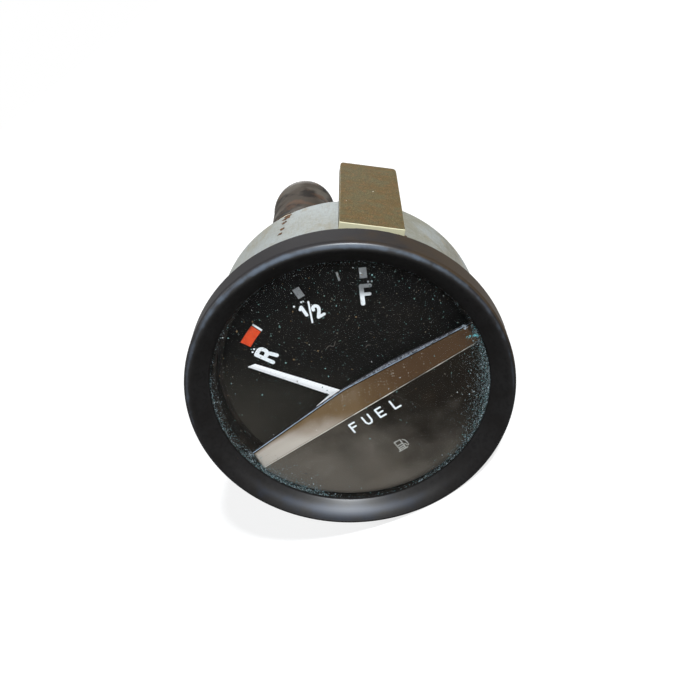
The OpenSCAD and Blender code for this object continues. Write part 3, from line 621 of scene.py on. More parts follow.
NEEDLE_WHITE = Finish(
    "needle white", "white_paint", paint(252, 253, 255), 0.5, specular=0.3, layers=(
        Layer(CLOUD, paint(228, 232, 234), 0.4, 0.5, 0.5, 0.75),
    ))
RED_PAINT = Finish(
    "red dial paint", "red_paint", paint(222, 76, 34), 0.5, specular=0.3, grain_scale=10.0,
    grain_depth=0.001, layers=(
        Layer(CLOUD, paint(202, 60, 26), 0.6, 0.9, 0.4, 0.65),
    ))
FAINT_PAINT = Finish(
    "faint legend paint", "white_paint", paint(166, 166, 160), 0.55, specular=0.3, layers=(
        Layer(CLOUD, paint(130, 127, 118), 0.6, 2.5, 0.45, 0.6),
    ))
CASE_ZINC = Finish(
    "aged zinc plate", "case_zinc", paint(145, 148, 143), 0.5, metallic=0.2, specular=0.3,
    grain_scale=3.5, grain_depth=0.004, grain_stretch=(2.2, 0.35, 2.2), layers=(
        # painted shade: the case darker and browner towards its right side
        Layer(SWEEP, paint(124, 121, 104), 0.85, 0.0, 9.0, 23.0, (1.0, 0.0, -0.1), rough=0.6),
        Layer(SWEEP, paint(84, 76, 62), 0.7, 0.0, 22.5, 27.0, (1.0, 0.0, -0.1), rough=0.6),
        Layer(CLOUD, paint(162, 169, 172), 0.5, 0.13, 0.42, 0.62),
        Layer(CLOUD, paint(140, 137, 122), 0.45, 2.4, 0.45, 0.72, (1.0, 0.16, 1.0)),
        Layer(CLOUD, paint(120, 118, 106), 0.35, 7.0, 0.48, 0.7, (1.0, 0.12, 1.0)),
        Layer(CLOUD, paint(196, 200, 198), 0.35, 6.0, 0.5, 0.72, (0.16, 1.2, 0.16)),
        Layer(CLOUD, paint(138, 130, 108), 0.55, 0.32, 0.56, 0.72, (1.0, 0.6, 1.0), rough=0.6),
        Layer(SPECK, paint(104, 84, 60), 0.7, 1.3, 0.14, 0.06, rough=0.8, metal=0.1),
        Layer(WORN, paint(128, 100, 74), 0.75, 0.4, 0.9, 1.25, rough=0.7),
    ))
BRACKET_STEEL = Finish(
    "olive passivated steel", "passivated_steel", paint(94, 75, 40), 0.62, specular=0.1,
    grain_scale=6.0, grain_depth=0.005, layers=(
        Layer(CLOUD, paint(88, 84, 57), 0.75, 0.25, 0.4, 0.62),
        Layer(CLOUD, paint(116, 84, 50), 0.6, 0.9, 0.48, 0.7),
        Layer(CLOUD, paint(66, 58, 38), 0.75, 3.6, 0.48, 0.62),
        Layer(CLOUD, paint(140, 120, 84), 0.6, 5.5, 0.54, 0.7),
        Layer(SPECK, paint(150, 126, 86), 0.5, 3.0, 0.2, 0.35),
        Layer(SPECK, paint(226, 220, 205), 0.95, 0.4, 0.05, 0.4, rough=0.8, metal=0.0),
        Layer(WORN, paint(204, 199, 168), 0.95, 1.2, 0.5, 0.8, rough=0.4, metal=0.2),
    ))
PLATED_STEEL = Finish(
    "dull plated steel", "plated_steel", paint(158, 158, 152), 0.42, metallic=0.6,
    grain_scale=4.0, grain_depth=0.004, layers=(
        Layer(CLOUD, paint(122, 120, 112), 0.6, 0.8, 0.45, 0.68, rough=0.55),
        Layer(SPECK, paint(112, 84, 58), 0.7, 1.3, 0.16, 0.16, rough=0.8, metal=0.1),
    ))
YELLOW_ZINC = Finish(
    "yellow zinc plate", "yellow_zinc", paint(178, 162, 116), 0.4, metallic=0.6,
    grain_scale=5.0, grain_depth=0.004, layers=(
        Layer(CLOUD, paint(150, 146, 126), 0.7, 0.7, 0.42, 0.64, rough=0.52),
        Layer(CLOUD, paint(190, 144, 104), 0.4, 1.1, 0.5, 0.7),
        Layer(SPECK, paint(96, 72, 50), 0.7, 1.5, 0.16, 0.16, rough=0.8, metal=0.1),
    ))
BRASS = Finish(
    "dull brass", "brass", paint(176, 148, 92), 0.36, metallic=0.8,
    grain_scale=5.0, grain_depth=0.003, layers=(
        Layer(CLOUD, paint(134, 104, 58), 0.65, 0.8, 0.42, 0.66, rough=0.5),
        Layer(SPECK, paint(84, 104, 84), 0.5, 1.8, 0.16, 0.14, rough=0.8, metal=0.1),
    ))
TINNED_BRASS = Finish(
    "tinned brass blade", "brass", paint(190, 180, 150), 0.38, metallic=0.7,
    grain_scale=4.0, grain_depth=0.003, grain_stretch=(1.0, 0.2, 1.0), layers=(
        Layer(CLOUD, paint(168, 142, 92), 0.7, 0.6, 0.45, 0.62, rough=0.45),
        Layer(CLOUD, paint(110, 98, 78), 0.5, 2.2, 0.5, 0.7, (1.0, 0.3, 1.0), rough=0.6),
    ))
FIBRE = Finish(
    "pressed fibre board", "fibre", paint(100, 66, 41), 0.72, specular=0.3,
    grain_scale=5.0, grain_depth=0.01, layers=(
        Layer(CLOUD, paint(74, 47, 30), 0.7, 1.2, 0.42, 0.66),
        Layer(CLOUD, paint(128, 91, 60), 0.6, 5.0, 0.55, 0.7, (3.0, 0.6, 1.0)),
    ))
CORK = Finish(
    "cork plug", "cork", paint(156, 116, 76), 0.9, specular=0.2,
    grain_scale=3.0, grain_depth=0.06, layers=(
        Layer(CLOUD, paint(98, 67, 40), 0.8, 2.2, 0.46, 0.6),
        Layer(SPECK, paint(64, 41, 26), 0.9, 2.6, 0.26, 0.35),
    ))
BOOT_RUBBER = Finish(
    "aged boot rubber", "boot_rubber", paint(64, 56, 48), 0.55, specular=0.03,
    grain_scale=1.6, grain_depth=0.004, layers=(
        Layer(CLOUD, paint(98, 92, 84), 0.8, 0.12, 0.42, 0.62, rough=0.48),
        Layer(CLOUD, paint(30, 26, 23), 0.9, 0.19, 0.48, 0.62, rough=0.6),
        Layer(CLOUD, paint(96, 68, 48), 0.55, 0.3, 0.54, 0.7),
        # painted shade: the boot darker towards its right and lower side
        Layer(SWEEP, paint(38, 32, 28), 0.8, 0.0, 1.0, 8.5, (1.0, -0.05, -0.25)),
        Layer(SPECK, paint(120, 112, 100), 0.3, 2.6, 0.12, 0.25, rough=0.8),
    ))
SEAL_RUBBER = Finish(
    "seal rubber", "seal_rubber", paint(22, 22, 22), 0.7, specular=0.3, grain_scale=4.0,
    grain_depth=0.01, layers=(
        Layer(CLOUD, paint(44, 48, 44), 0.6, 1.0, 0.5, 0.7),
    ))
BIMETAL = Finish(
    "bimetal strip", "bimetal", paint(156, 140, 112), 0.4, metallic=0.8, grain_scale=3.0,
    grain_depth=0.003, grain_stretch=(0.3, 3.0, 1.0), layers=(
        Layer(CLOUD, paint(104, 104, 128), 0.6, 0.4, 0.45, 0.65),
        Layer(CLOUD, paint(128, 84, 60), 0.5, 0.7, 0.5, 0.7),
    ))
HEATER_WIRE = Finish(
    "heater winding", "resistance_wire", paint(92, 52, 34), 0.55, metallic=0.3,
    grain_scale=1.2, grain_depth=0.08, grain_stretch=(6.0, 0.2, 0.2), layers=(
        Layer(CLOUD, paint(166, 108, 66), 0.8, 1.1, 0.4, 0.6, (6.0, 0.2, 0.2)),
        Layer(CLOUD, paint(44, 26, 20), 0.6, 0.9, 0.5, 0.7),
    ))
WIRE_RED = Finish(
    "red wire cover", "wire_red", paint(168, 52, 38), 0.45, grain_scale=5.0,
    grain_depth=0.004, layers=(
        Layer(CLOUD, paint(120, 36, 28), 0.5, 1.0, 0.45, 0.7),
    ))
LAMP_CLEAR = GlassFinish("lamp glass", "lamp_clear", paint(225, 228, 222), 0.22, 0.7)
FRONT_GLASS = GlassFinish("front glass", "clear_glass", paint(120, 124, 124), 0.008, 0.12)
# The dust finish also colours specks that are painted reflections of dust.
DUST_AND_REFLECTIONS = SpeckFinish("dust flecks", "clear_glass")
RUST = SpeckFinish("rust flecks", "case_zinc", 0.9)
BLOOM = CrustFinish("edge bloom", "seal_rubber", paint(108, 134, 136), paint(82, 96, 98),
                    4.2, 0.5, 1.4, 0.3)


def to_frame(points: np.ndarray) -> np.ndarray:
    """Turns points on the gauge's axes into the frame's: x stays, -z is depth, y is height.

    Args:
        points: Points in millimetres, last axis x, y, z.

    Returns:
        The same points in metres in the frame.
    """
    return np.stack([points[..., 0], -points[..., 2], points[..., 1]], axis=-1) * MM


@dataclass
class Skin:
    """A surface: points on the gauge's axes, faces that name them, and marks on the points."""

    points: np.ndarray
    faces: list[tuple[int, ...]]
    marks: dict[str, np.ndarray]

    def moved(self, origin: Sequence[float], right: Sequence[float] = RIGHT,
              up: Sequence[float] = UP) -> "Skin":
        """Carries the skin to a place: x runs along right, y along up, and z across both.

        Args:
            origin: Where the skin's own origin goes.
            right: Where its x axis points.
            up: Where its y axis points.

        Returns:
            The carried skin.
        """
        across = np.cross(right, up)
        turn = np.stack([np.array(right, float), np.array(up, float), across])
        return Skin(self.points @ turn + np.array(origin, float), self.faces, self.marks)

    @staticmethod
    def joined(skins: Sequence["Skin"]) -> "Skin":
        """Lays several skins together; a mark that one lacks is 0 there.

        Args:
            skins: The skins.

        Returns:
            One skin of all.
        """
        names = sorted({name for skin in skins for name in skin.marks})
        shapes = {name: next(s.marks[name].shape[1:] for s in skins if name in s.marks)
                  for name in names}
        marks = {name: np.concatenate([
            skin.marks.get(name, np.zeros((len(skin.points),) + shapes[name]))
            for skin in skins]) for name in names}
        starts = np.cumsum([0] + [len(skin.points) for skin in skins])
        faces = [tuple(int(start) + corner for corner in face)
                 for start, skin in zip(starts, skins) for face in skin.faces]
        return Skin(np.concatenate([skin.points for skin in skins]), faces, marks)


def around(radius: np.ndarray, depth: np.ndarray, turn: np.ndarray,
           centre: Sequence[float] = (0.0, 0.0)) -> np.ndarray:
    """Sets points round an axis: from the centre, x is the radius times the sine of the turn
    and y the radius times its cosine.

    Args:
        radius: Each point's distance from the axis.
        depth: Each point's z.
        turn: Each point's angle in radians, clockwise from the top.
        centre: The axis's x and y.

    Returns:
        The points, last axis x, y, z.
    """
    radius, depth, turn = np.broadcast_arrays(radius, depth, turn)
    return np.stack([centre[0] + radius * np.sin(turn), centre[1] + radius * np.cos(turn),
                     depth], axis=-1)


def full_circle(count: int) -> np.ndarray:
    """Gives evenly spaced angles of a full turn in radians, from 0."""
    return np.arange(count) / count * TURN


def hump(value: np.ndarray, middle: float, width: float) -> np.ndarray:
    """Gives exp(-((value - middle) / width)^2): 1 at the middle, and falling off beside it."""
    return np.exp(-((value - middle) / width) ** 2)


def dial_hump(angle: np.ndarray, middle: float, width: float) -> np.ndarray:
    """Gives a hump over dial angles in degrees, the short way round from the middle."""
    return hump((angle - middle + 180) % 360 - 180, 0.0, width)


def grid_skin(grid: np.ndarray, wrap_rows: bool = False, wrap_columns: bool = False,
              capped: bool = False, **marks: np.ndarray) -> Skin:
    """Makes a skin of a grid: each square of neighbouring points is one face.

    Args:
        grid: Points by row and column.
        wrap_rows: The last row joins the first.
        wrap_columns: The last column joins the first.
        capped: The first and last rows are closed with a flat face each.
        **marks: A value for each point, by row and column.

    Returns:
        The skin.
    """
    rows, columns = grid.shape[:2]
    i, j = np.meshgrid(np.arange(rows if wrap_rows else rows - 1),
                       np.arange(columns if wrap_columns else columns - 1), indexing="ij")
    k, m = (i + 1) % rows, (j + 1) % columns
    quads = np.stack([i * columns + j, i * columns + m, k * columns + m, k * columns + j], -1)
    faces = [tuple(face) for face in quads.reshape(-1, 4).tolist()]
    if capped:
        faces += [tuple(range(columns))[::-1],
                  tuple(range((rows - 1) * columns, rows * columns))]
    flat = {name: value.reshape(rows * columns, -1).squeeze() for name, value in marks.items()}
    return Skin(grid.reshape(-1, 3), faces, flat)


def rounded_path(corners: Sequence[Place], closed: bool = False,
                 steps: int = 6, spacing: float = 0.8) -> np.ndarray:
    """Rounds a path's corners: at each, an arc of its radius touches both straight runs.

    Args:
        corners: The x, y and radius of each corner.
        closed: The path ends where it starts.
        steps: Points on each arc.
        spacing: The most that neighbouring points on a straight run are apart.

    Returns:
        The path's points.
    """
    given = np.array(corners, float)
    count = len(given)
    runs: list[np.ndarray] = []
    for index in range(count):
        here, radius = given[index, :2], given[index, 2]
        ends = not closed and index in (0, count - 1)
        if radius <= 0 or ends:
            runs.append(here[None])
            continue
        back = given[(index - 1) % count, :2] - here
        ahead = given[(index + 1) % count, :2] - here
        back, ahead = back / np.linalg.norm(back), ahead / np.linalg.norm(ahead)
        half = math.acos(float(np.clip(back @ ahead, -1, 1))) / 2
        centre = here + (back + ahead) / np.linalg.norm(back + ahead) * radius / math.sin(half)
        reach = radius / math.tan(half)
        start, end = here + back * reach - centre, here + ahead * reach - centre
        sweep = math.atan2(start[0] * end[1] - start[1] * end[0], start @ end)
        angle = np.linspace(0, sweep, steps + 1)[:, None]
        side = np.array([-start[1], start[0]])
        runs.append(centre + start * np.cos(angle) + side * np.sin(angle))
    filled: list[np.ndarray] = []
    for index, run in enumerate(runs):
        filled.append(run)
        if index == count - 1 and not closed:
            break
        end, start = run[-1], runs[(index + 1) % count][0]
        gap = float(np.linalg.norm(start - end))
        parts = max(1, int(math.ceil(gap / spacing)))
        share = np.linspace(0, 1, parts + 1)[1:-1, None]
        filled.append(end + (start - end) * share)
    return np.concatenate([part for part in filled if len(part)])


def turned(profile: np.ndarray, count: int = 96, centre: Sequence[float] = (0.0, 0.0),
           closed: bool = False, **marks: np.ndarray) -> Skin:
    """Turns a profile on a lathe: each radius and depth sweeps a full circle about the centre.

    Args:
        profile: Radius and z of each point.
        count: Points on each circle.
        centre: The axis's x and y.
        closed: The profile joins itself.
        **marks: A value for each point of the profile.

    Returns:
        The turned skin.
    """
    grid = around(profile[:, :1], profile[:, 1:], full_circle(count), centre)
    spread = {name: np.repeat(value[:, None], count, axis=1) for name, value in marks.items()}
    return grid_skin(grid, wrap_rows=closed, wrap_columns=True, **spread)


def smooth_path(points: Sequence[Spot], steps: int = 8) -> np.ndarray:
    """Draws a smooth path through points: between two, a cubic that leaves and meets each
    along the line of its neighbours.

    Args:
        points: The points.
        steps: Points on each stretch.

    Returns:
        The path.
    """
    given = np.array(points, float)
    padded = np.concatenate([2 * given[:1] - given[1:2], given, 2 * given[-1:] - given[-2:-1]])
    t = np.linspace(0, 1, steps, endpoint=False)[None, :, None]
    a, b, c, d = (padded[k:len(padded) - 3 + k, None] for k in range(4))
    curve = 0.5 * (2 * b + (c - a) * t + (2 * a - 5 * b + 4 * c - d) * t ** 2
                   + (3 * b - a - 3 * c + d) * t ** 3)
    return np.concatenate([curve.reshape(-1, 2), given[-1:]])


def stroke(path: Sequence[Sequence[float]], width: float, depth: float = 0.0) -> Skin:
    """Makes one painted stroke: the path set off by half its width to both sides, with round
    ends.

    Args:
        path: The middle of the stroke.
        width: Its width.
        depth: Its z.

    Returns:
        A flat skin of one outline.
    """
    path = np.array(path, float)
    run = np.gradient(path, axis=0)
    run /= np.linalg.norm(run, axis=1)[:, None]
    side = np.stack([-run[:, 1], run[:, 0]], axis=1) * width / 2
    turn = np.linspace(0, math.pi, 9)[1:-1, None]
    far = path[-1] + side[-1] * np.cos(turn) + run[-1] * np.sin(turn) * width / 2
    near = path[0] - side[0] * np.cos(turn) - run[0] * np.sin(turn) * width / 2
    outline = np.concatenate([path + side, far, (path - side)[::-1], near])
    points = np.concatenate([outline, np.full((len(outline), 1), depth)], axis=1)
    return Skin(points, [tuple(range(len(points)))], {})


def painted(strokes: Sequence[Skin], lift: float = 0.004) -> Skin:
    """Lays painted strokes over each other, each a hair higher than the one before.

    Args:
        strokes: The strokes.
        lift: How much higher each is.

    Returns:
        One skin of all.
    """
    return Skin.joined([Skin(one.points + [0.0, 0.0, index * lift], one.faces, one.marks)
                        for index, one in enumerate(strokes)])


def hexed(angle: np.ndarray, flat: float) -> np.ndarray:
    """Gives a hexagon's radius: half its width over flats over the cosine to the nearest flat.

    Args:
        angle: Angles in radians.
        flat: Half the width over flats.

    Returns:
        The radius at each angle.
    """
    return flat / np.cos((angle + math.pi / 6) % (math.pi / 3) - math.pi / 6)


def flecks(centres: np.ndarray, reach: np.ndarray, tints: np.ndarray,
           rng: np.random.Generator, right: Sequence[float] = RIGHT, up: Sequence[float] = UP
           ) -> Skin:
    """Makes small uneven six-sided flakes: each corner lies at its own share of the reach
    round the centre, and the flake is drawn out along a random heading.

    Args:
        centres: Where the flakes are.
        reach: Each flake's size.
        tints: Each flake's colour.
        rng: The seeded random source.
        right: A direction along the surface, for all or for each.
        up: The other direction along the surface.

    Returns:
        The flakes.
    """
    count = len(centres)
    turn = rng.uniform(0, TURN, (count, 1)) + np.arange(6) * math.pi / 3
    radius = reach[:, None] * rng.uniform(0.55, 1.15, (count, 6))
    drawn_out = rng.uniform(1, 1.8, (count, 1))
    heading = rng.uniform(0, math.pi, (count, 1))
    u, v = radius * np.cos(turn) * drawn_out, radius * np.sin(turn)
    a = (u * np.cos(heading) - v * np.sin(heading))[..., None]
    b = (u * np.sin(heading) + v * np.cos(heading))[..., None]
    points = centres[:, None] + a * np.atleast_2d(right)[:, None] + b * np.atleast_2d(up)[:, None]
    faces = [tuple(face) for face in np.arange(count * 6).reshape(count, 6).tolist()]
    return Skin(points.reshape(-1, 3), faces, {"tint": np.repeat(tints, 6, axis=0)})


class Workshop:
    """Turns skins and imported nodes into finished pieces."""

    @staticmethod
    def mesh_of(name: str, skin: Skin, facing: Optional[Vector]) -> bpy.types.Mesh:
        """Writes a skin into a mesh, joins doubled points and points its faces outwards.

        Args:
            name: The mesh's name.
            skin: The skin.
            facing: Where an open skin's faces look, in the frame, or None for a closed one.

        Returns:
            The mesh.
        """
        mesh = bpy.data.meshes.new(name)
        mesh.from_pydata(to_frame(skin.points).tolist(), [], skin.faces)
        for label, values in skin.marks.items():
            coloured = values.ndim > 1
            layer = mesh.attributes.new(label, "FLOAT_COLOR" if coloured else "FLOAT", "POINT")
            layer.data.foreach_set("color" if coloured else "value", values.astype("f").ravel())
        work = bmesh.new()
        work.from_mesh(mesh)
        bmesh.ops.remove_doubles(work, verts=work.verts, dist=0.0005 * MM)
        bmesh.ops.recalc_face_normals(work, faces=work.faces)
        if facing is not None:
            away = [face for face in work.faces if face.normal.dot(facing) < 0]
            if len(away) * 2 > len(work.faces):
                bmesh.ops.reverse_faces(work, faces=work.faces)
        work.to_mesh(mesh)
        work.free()
        return mesh

    @staticmethod
    def finish(name: str, mesh: bpy.types.Mesh, finish: Surface, body: Body,
               stands_for: Sequence[str], smooth: float) -> bpy.types.Object:
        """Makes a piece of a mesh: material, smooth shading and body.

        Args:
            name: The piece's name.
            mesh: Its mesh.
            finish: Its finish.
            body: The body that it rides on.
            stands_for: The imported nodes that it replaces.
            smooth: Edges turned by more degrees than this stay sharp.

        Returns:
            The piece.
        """
        mesh.materials.clear()
        mesh.materials.append(finish.material())
        mesh.shade_smooth()
        mesh.set_sharp_from_angle(angle=math.radians(smooth))
        piece = bpy.data.objects.new(name, mesh)
        bpy.context.scene.collection.objects.link(piece)
        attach(piece, body.value)
        if stands_for:
            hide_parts(*stands_for)
        log.info("%s: %d faces, %s", name, len(mesh.polygons), finish.name)
        return piece

    def make(self, name: str, skin: Skin, finish: Surface, body: Body,
             stands_for: Sequence[str] = (), smooth: float = 35.0,
             facing: Optional[Place] = None) -> bpy.types.Object:
        """Makes a piece of a skin.

        Args:
            name: The piece's name.
            skin: Its surface.
            finish: Its finish.
            body: The body that it rides on.
            stands_for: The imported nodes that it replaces.
            smooth: Edges turned by more degrees than this stay sharp.
            facing: Where an open skin looks, on the gauge's axes.

        Returns:
            The piece.
        """
        look = None if facing is None else Vector(to_frame(np.array(facing, float)))
        return self.finish(name, self.mesh_of(name, skin, look), finish, body, stands_for,
                           smooth)

    def refine(self, node: str, finish: Surface, body: Body, bevel: float = 0.12,
               shaped: Optional[Callable[[bmesh.types.BMesh, object], None]] = None
               ) -> bpy.types.Object:
        """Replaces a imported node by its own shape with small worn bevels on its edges.

        The node's loose triangles are joined and its flats made whole. Each edge that turns
        by more than 28 degrees becomes a strip of two faces, whose middle carries the wear mark.

        Args:
            node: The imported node.
            finish: Its finish.
            body: The body that it rides on.
            bevel: The strip's width.
            shaped: What else is done to the joined mesh and its wear mark.

        Returns:
            The piece.
        """
        mesh = frame["nodes"][node].data.copy()
        work = bmesh.new()
        work.from_mesh(mesh)
        bmesh.ops.remove_doubles(work, verts=work.verts, dist=0.002 * MM)
        bmesh.ops.dissolve_limit(work, angle_limit=math.radians(0.8), verts=work.verts,
                                 edges=work.edges)
        for face in work.faces:
            face.material_index = 0
        sharp = [edge for edge in work.edges if len(edge.link_faces) == 2
                 and edge.calc_face_angle(0.0) > math.radians(28)]
        if bevel and sharp:
            bmesh.ops.bevel(work, geom=sharp, offset=bevel * MM, segments=2, profile=0.5,
                            affect="EDGES", clamp_overlap=True, material=1)
        mark = work.verts.layers.float.new("wear")
        for vert in work.verts:
            crest = vert.link_faces and all(f.material_index == 1 for f in vert.link_faces)
            vert[mark] = 1.0 if crest else 0.0
        if shaped is not None:
            shaped(work, mark)
        for face in work.faces:
            face.material_index = 0
        work.to_mesh(mesh)
        work.free()
        piece = self.finish(node + "_dressed", mesh, finish, body, (node,), 40.0)
        weigh = piece.modifiers.new("even shading", "WEIGHTED_NORMAL")
        weigh.keep_sharp = True
        return piece

    @staticmethod
    def coat_node(node: str, finish: Surface) -> None:
        """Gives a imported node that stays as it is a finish.

        Args:
            node: The node.
            finish: Its finish.
        """
        mesh = frame["nodes"][node].data
        if not mesh.materials:
            mesh.materials.append(finish.material())
        for index in range(len(mesh.materials)):
            mesh.materials[index] = finish.material()
        log.info("%s: %s", node, finish.name)


shop = Workshop()


def strap_point(along: float, side: float) -> Spot:
    """Gives the x and y of a place measured along and across the bracket's strap."""
    return (STRAP[0] * along + STRAP[1] * side, STRAP[1] * along - STRAP[0] * side)


def about_pivot(angle: float, radius: float) -> np.ndarray:
    """Gives the x and y of a place at a dial angle and a radius about the pointer's pivot."""
    turn = math.radians(angle)
    return np.array([PIVOT[0] + radius * math.sin(turn), PIVOT[1] + radius * math.cos(turn)])


@dataclass
class BezelRing:
    """The pressed bezel: wall, rolled ridge, cone and lip, with three tabs behind.

    Each wear spot is a dial angle, a width in degrees and a strength. The sheen is where the
    paint carries a clear coat under a bluish painted sheen. The lit side is the upper one:
    there the wall and the crest are painted lighter, as painted light. The wall is also
    browner towards the right.
    """

    radius: float = 29.0
    corner_z: float = 6.778
    ridge: float = 0.8
    lip_r: float = 24.8
    lip_z: float = 3.7
    inner_r: float = 28.4
    fullness: float = 0.16
    columns: int = 288
    crest: Spot = (28.35, 5.9)
    worn_all_round: float = 0.52
    wear_spots: tuple[Place, ...] = (
        (318.0, 26.0, 0.34), (352.0, 12.0, 0.22), (28.0, 10.0, 0.2), (84.0, 17.0, 0.36),
        (118.0, 10.0, 0.22), (228.0, 8.0, 0.12))
    sheen_angle: float = 216.0
    sheen_r: float = 26.45
    lit_angle: float = 20.0
    brown_angle: float = 78.0
    tab_angles: Place = (30.0, 150.0, 270.0)
    tab_span: float = 16.0
    tab_in: float = 26.3

    def section(self) -> np.ndarray:
        """Draws the sheet's closed outline in radius and z.

        The cone is a little full: each of its points moves out along the cone's own normal by
        the fullness times 4 t (1 - t), where t is its share of the way from lip to corner.

        Returns:
            The outline.
        """
        path = rounded_path((
            (self.radius, 0.0, 0.2), (self.radius, self.corner_z, self.ridge),
            (self.lip_r, self.lip_z, 0.16), (self.lip_r, GLASS_Z, 0.06), (25.13, GLASS_Z, 0.0),
            (self.inner_r, 5.597, 0.2), (self.inner_r, 0.0, 0.2)), closed=True, steps=8,
            spacing=0.45)
        run = np.array([self.radius - self.lip_r, self.corner_z - self.lip_z])
        length = float(np.linalg.norm(run))
        run /= length
        normal = np.array([-run[1], run[0]])
        offset = path - [self.lip_r, self.lip_z]
        t = np.clip(offset @ run / length, 0, 1)
        front = np.abs(offset @ normal) < 0.25
        return path + (np.where(front, self.fullness * 4 * t * (1 - t), 0.0)[:, None] * normal)

    def tab(self, middle: float) -> Skin:
        """Makes one tab: its rounded section in radius and z is carried along an arc.

        Args:
            middle: The dial angle of the tab's middle.

        Returns:
            The tab, closed at both ends.
        """
        section = rounded_path(((self.tab_in, 0.02, 0.12), (28.6, 0.02, 0.02),
                                (28.6, 0.48, 0.02), (self.tab_in, 0.48, 0.12)), closed=True,
                               steps=3)
        turn = np.radians(middle + np.linspace(-0.5, 0.5, 17) * self.tab_span)[:, None]
        return grid_skin(around(section[:, 0], section[:, 1], turn), wrap_columns=True,
                         capped=True)

    def build(self) -> None:
        """Builds the bezel and marks where hands wear and polish it, and its painted light."""
        section = self.section()
        radius, depth = section[:, 0], section[:, 1]
        ring = turned(section, self.columns, closed=True)
        angle = np.arange(self.columns) * 360 / self.columns
        crest = np.hypot(radius - self.crest[0], depth - self.crest[1])
        lip = np.hypot(radius - self.lip_r, depth - self.lip_z)
        gathered = np.full(self.columns, self.worn_all_round)
        for middle, width, height in self.wear_spots:
            gathered += height * dial_hump(angle, middle, width)
        wear = hump(crest, 0, 0.4)[:, None] * gathered + 0.45 * hump(lip, 0, 0.2)[:, None]
        cone = (depth > 3.6) & (radius < 28.1)
        cone = cone * (0.36 + 0.64 * hump(radius, self.sheen_r, 0.65))
        polished = cone[:, None] * dial_hump(angle, self.sheen_angle, 32)
        polished += 0.6 * hump(crest, 0, 0.5)[:, None] * dial_hump(angle, self.lit_angle, 55)
        wall = (np.clip((radius - 28.55) / 0.2, 0, 1) * (depth > 0.1))[:, None]
        # The upper, lit side: the wall and the crest are painted lighter there, as painted light.
        lit = dial_hump(angle, self.lit_angle, 80)
        marks = {
            "wear": wear, "gloss": np.clip(polished, 0, 1), "wall": wall * lit,
            "brown": wall * dial_hump(angle, self.brown_angle, 46),
            # Painted highlight: a bluish line along the crest, strongest on the upper side.
            "crest": hump(crest, 0, 0.52)[:, None] * (0.25 + 0.75 * lit)}
        ring.marks.update({name: value.ravel() for name, value in marks.items()})
        tabs = [self.tab(angle) for angle in self.tab_angles]
        shop.make("bezel_pressing", Skin.joined([ring, *tabs]), BEZEL_BLACK, Body.BEZEL,
                  ("bezel",), smooth=42)


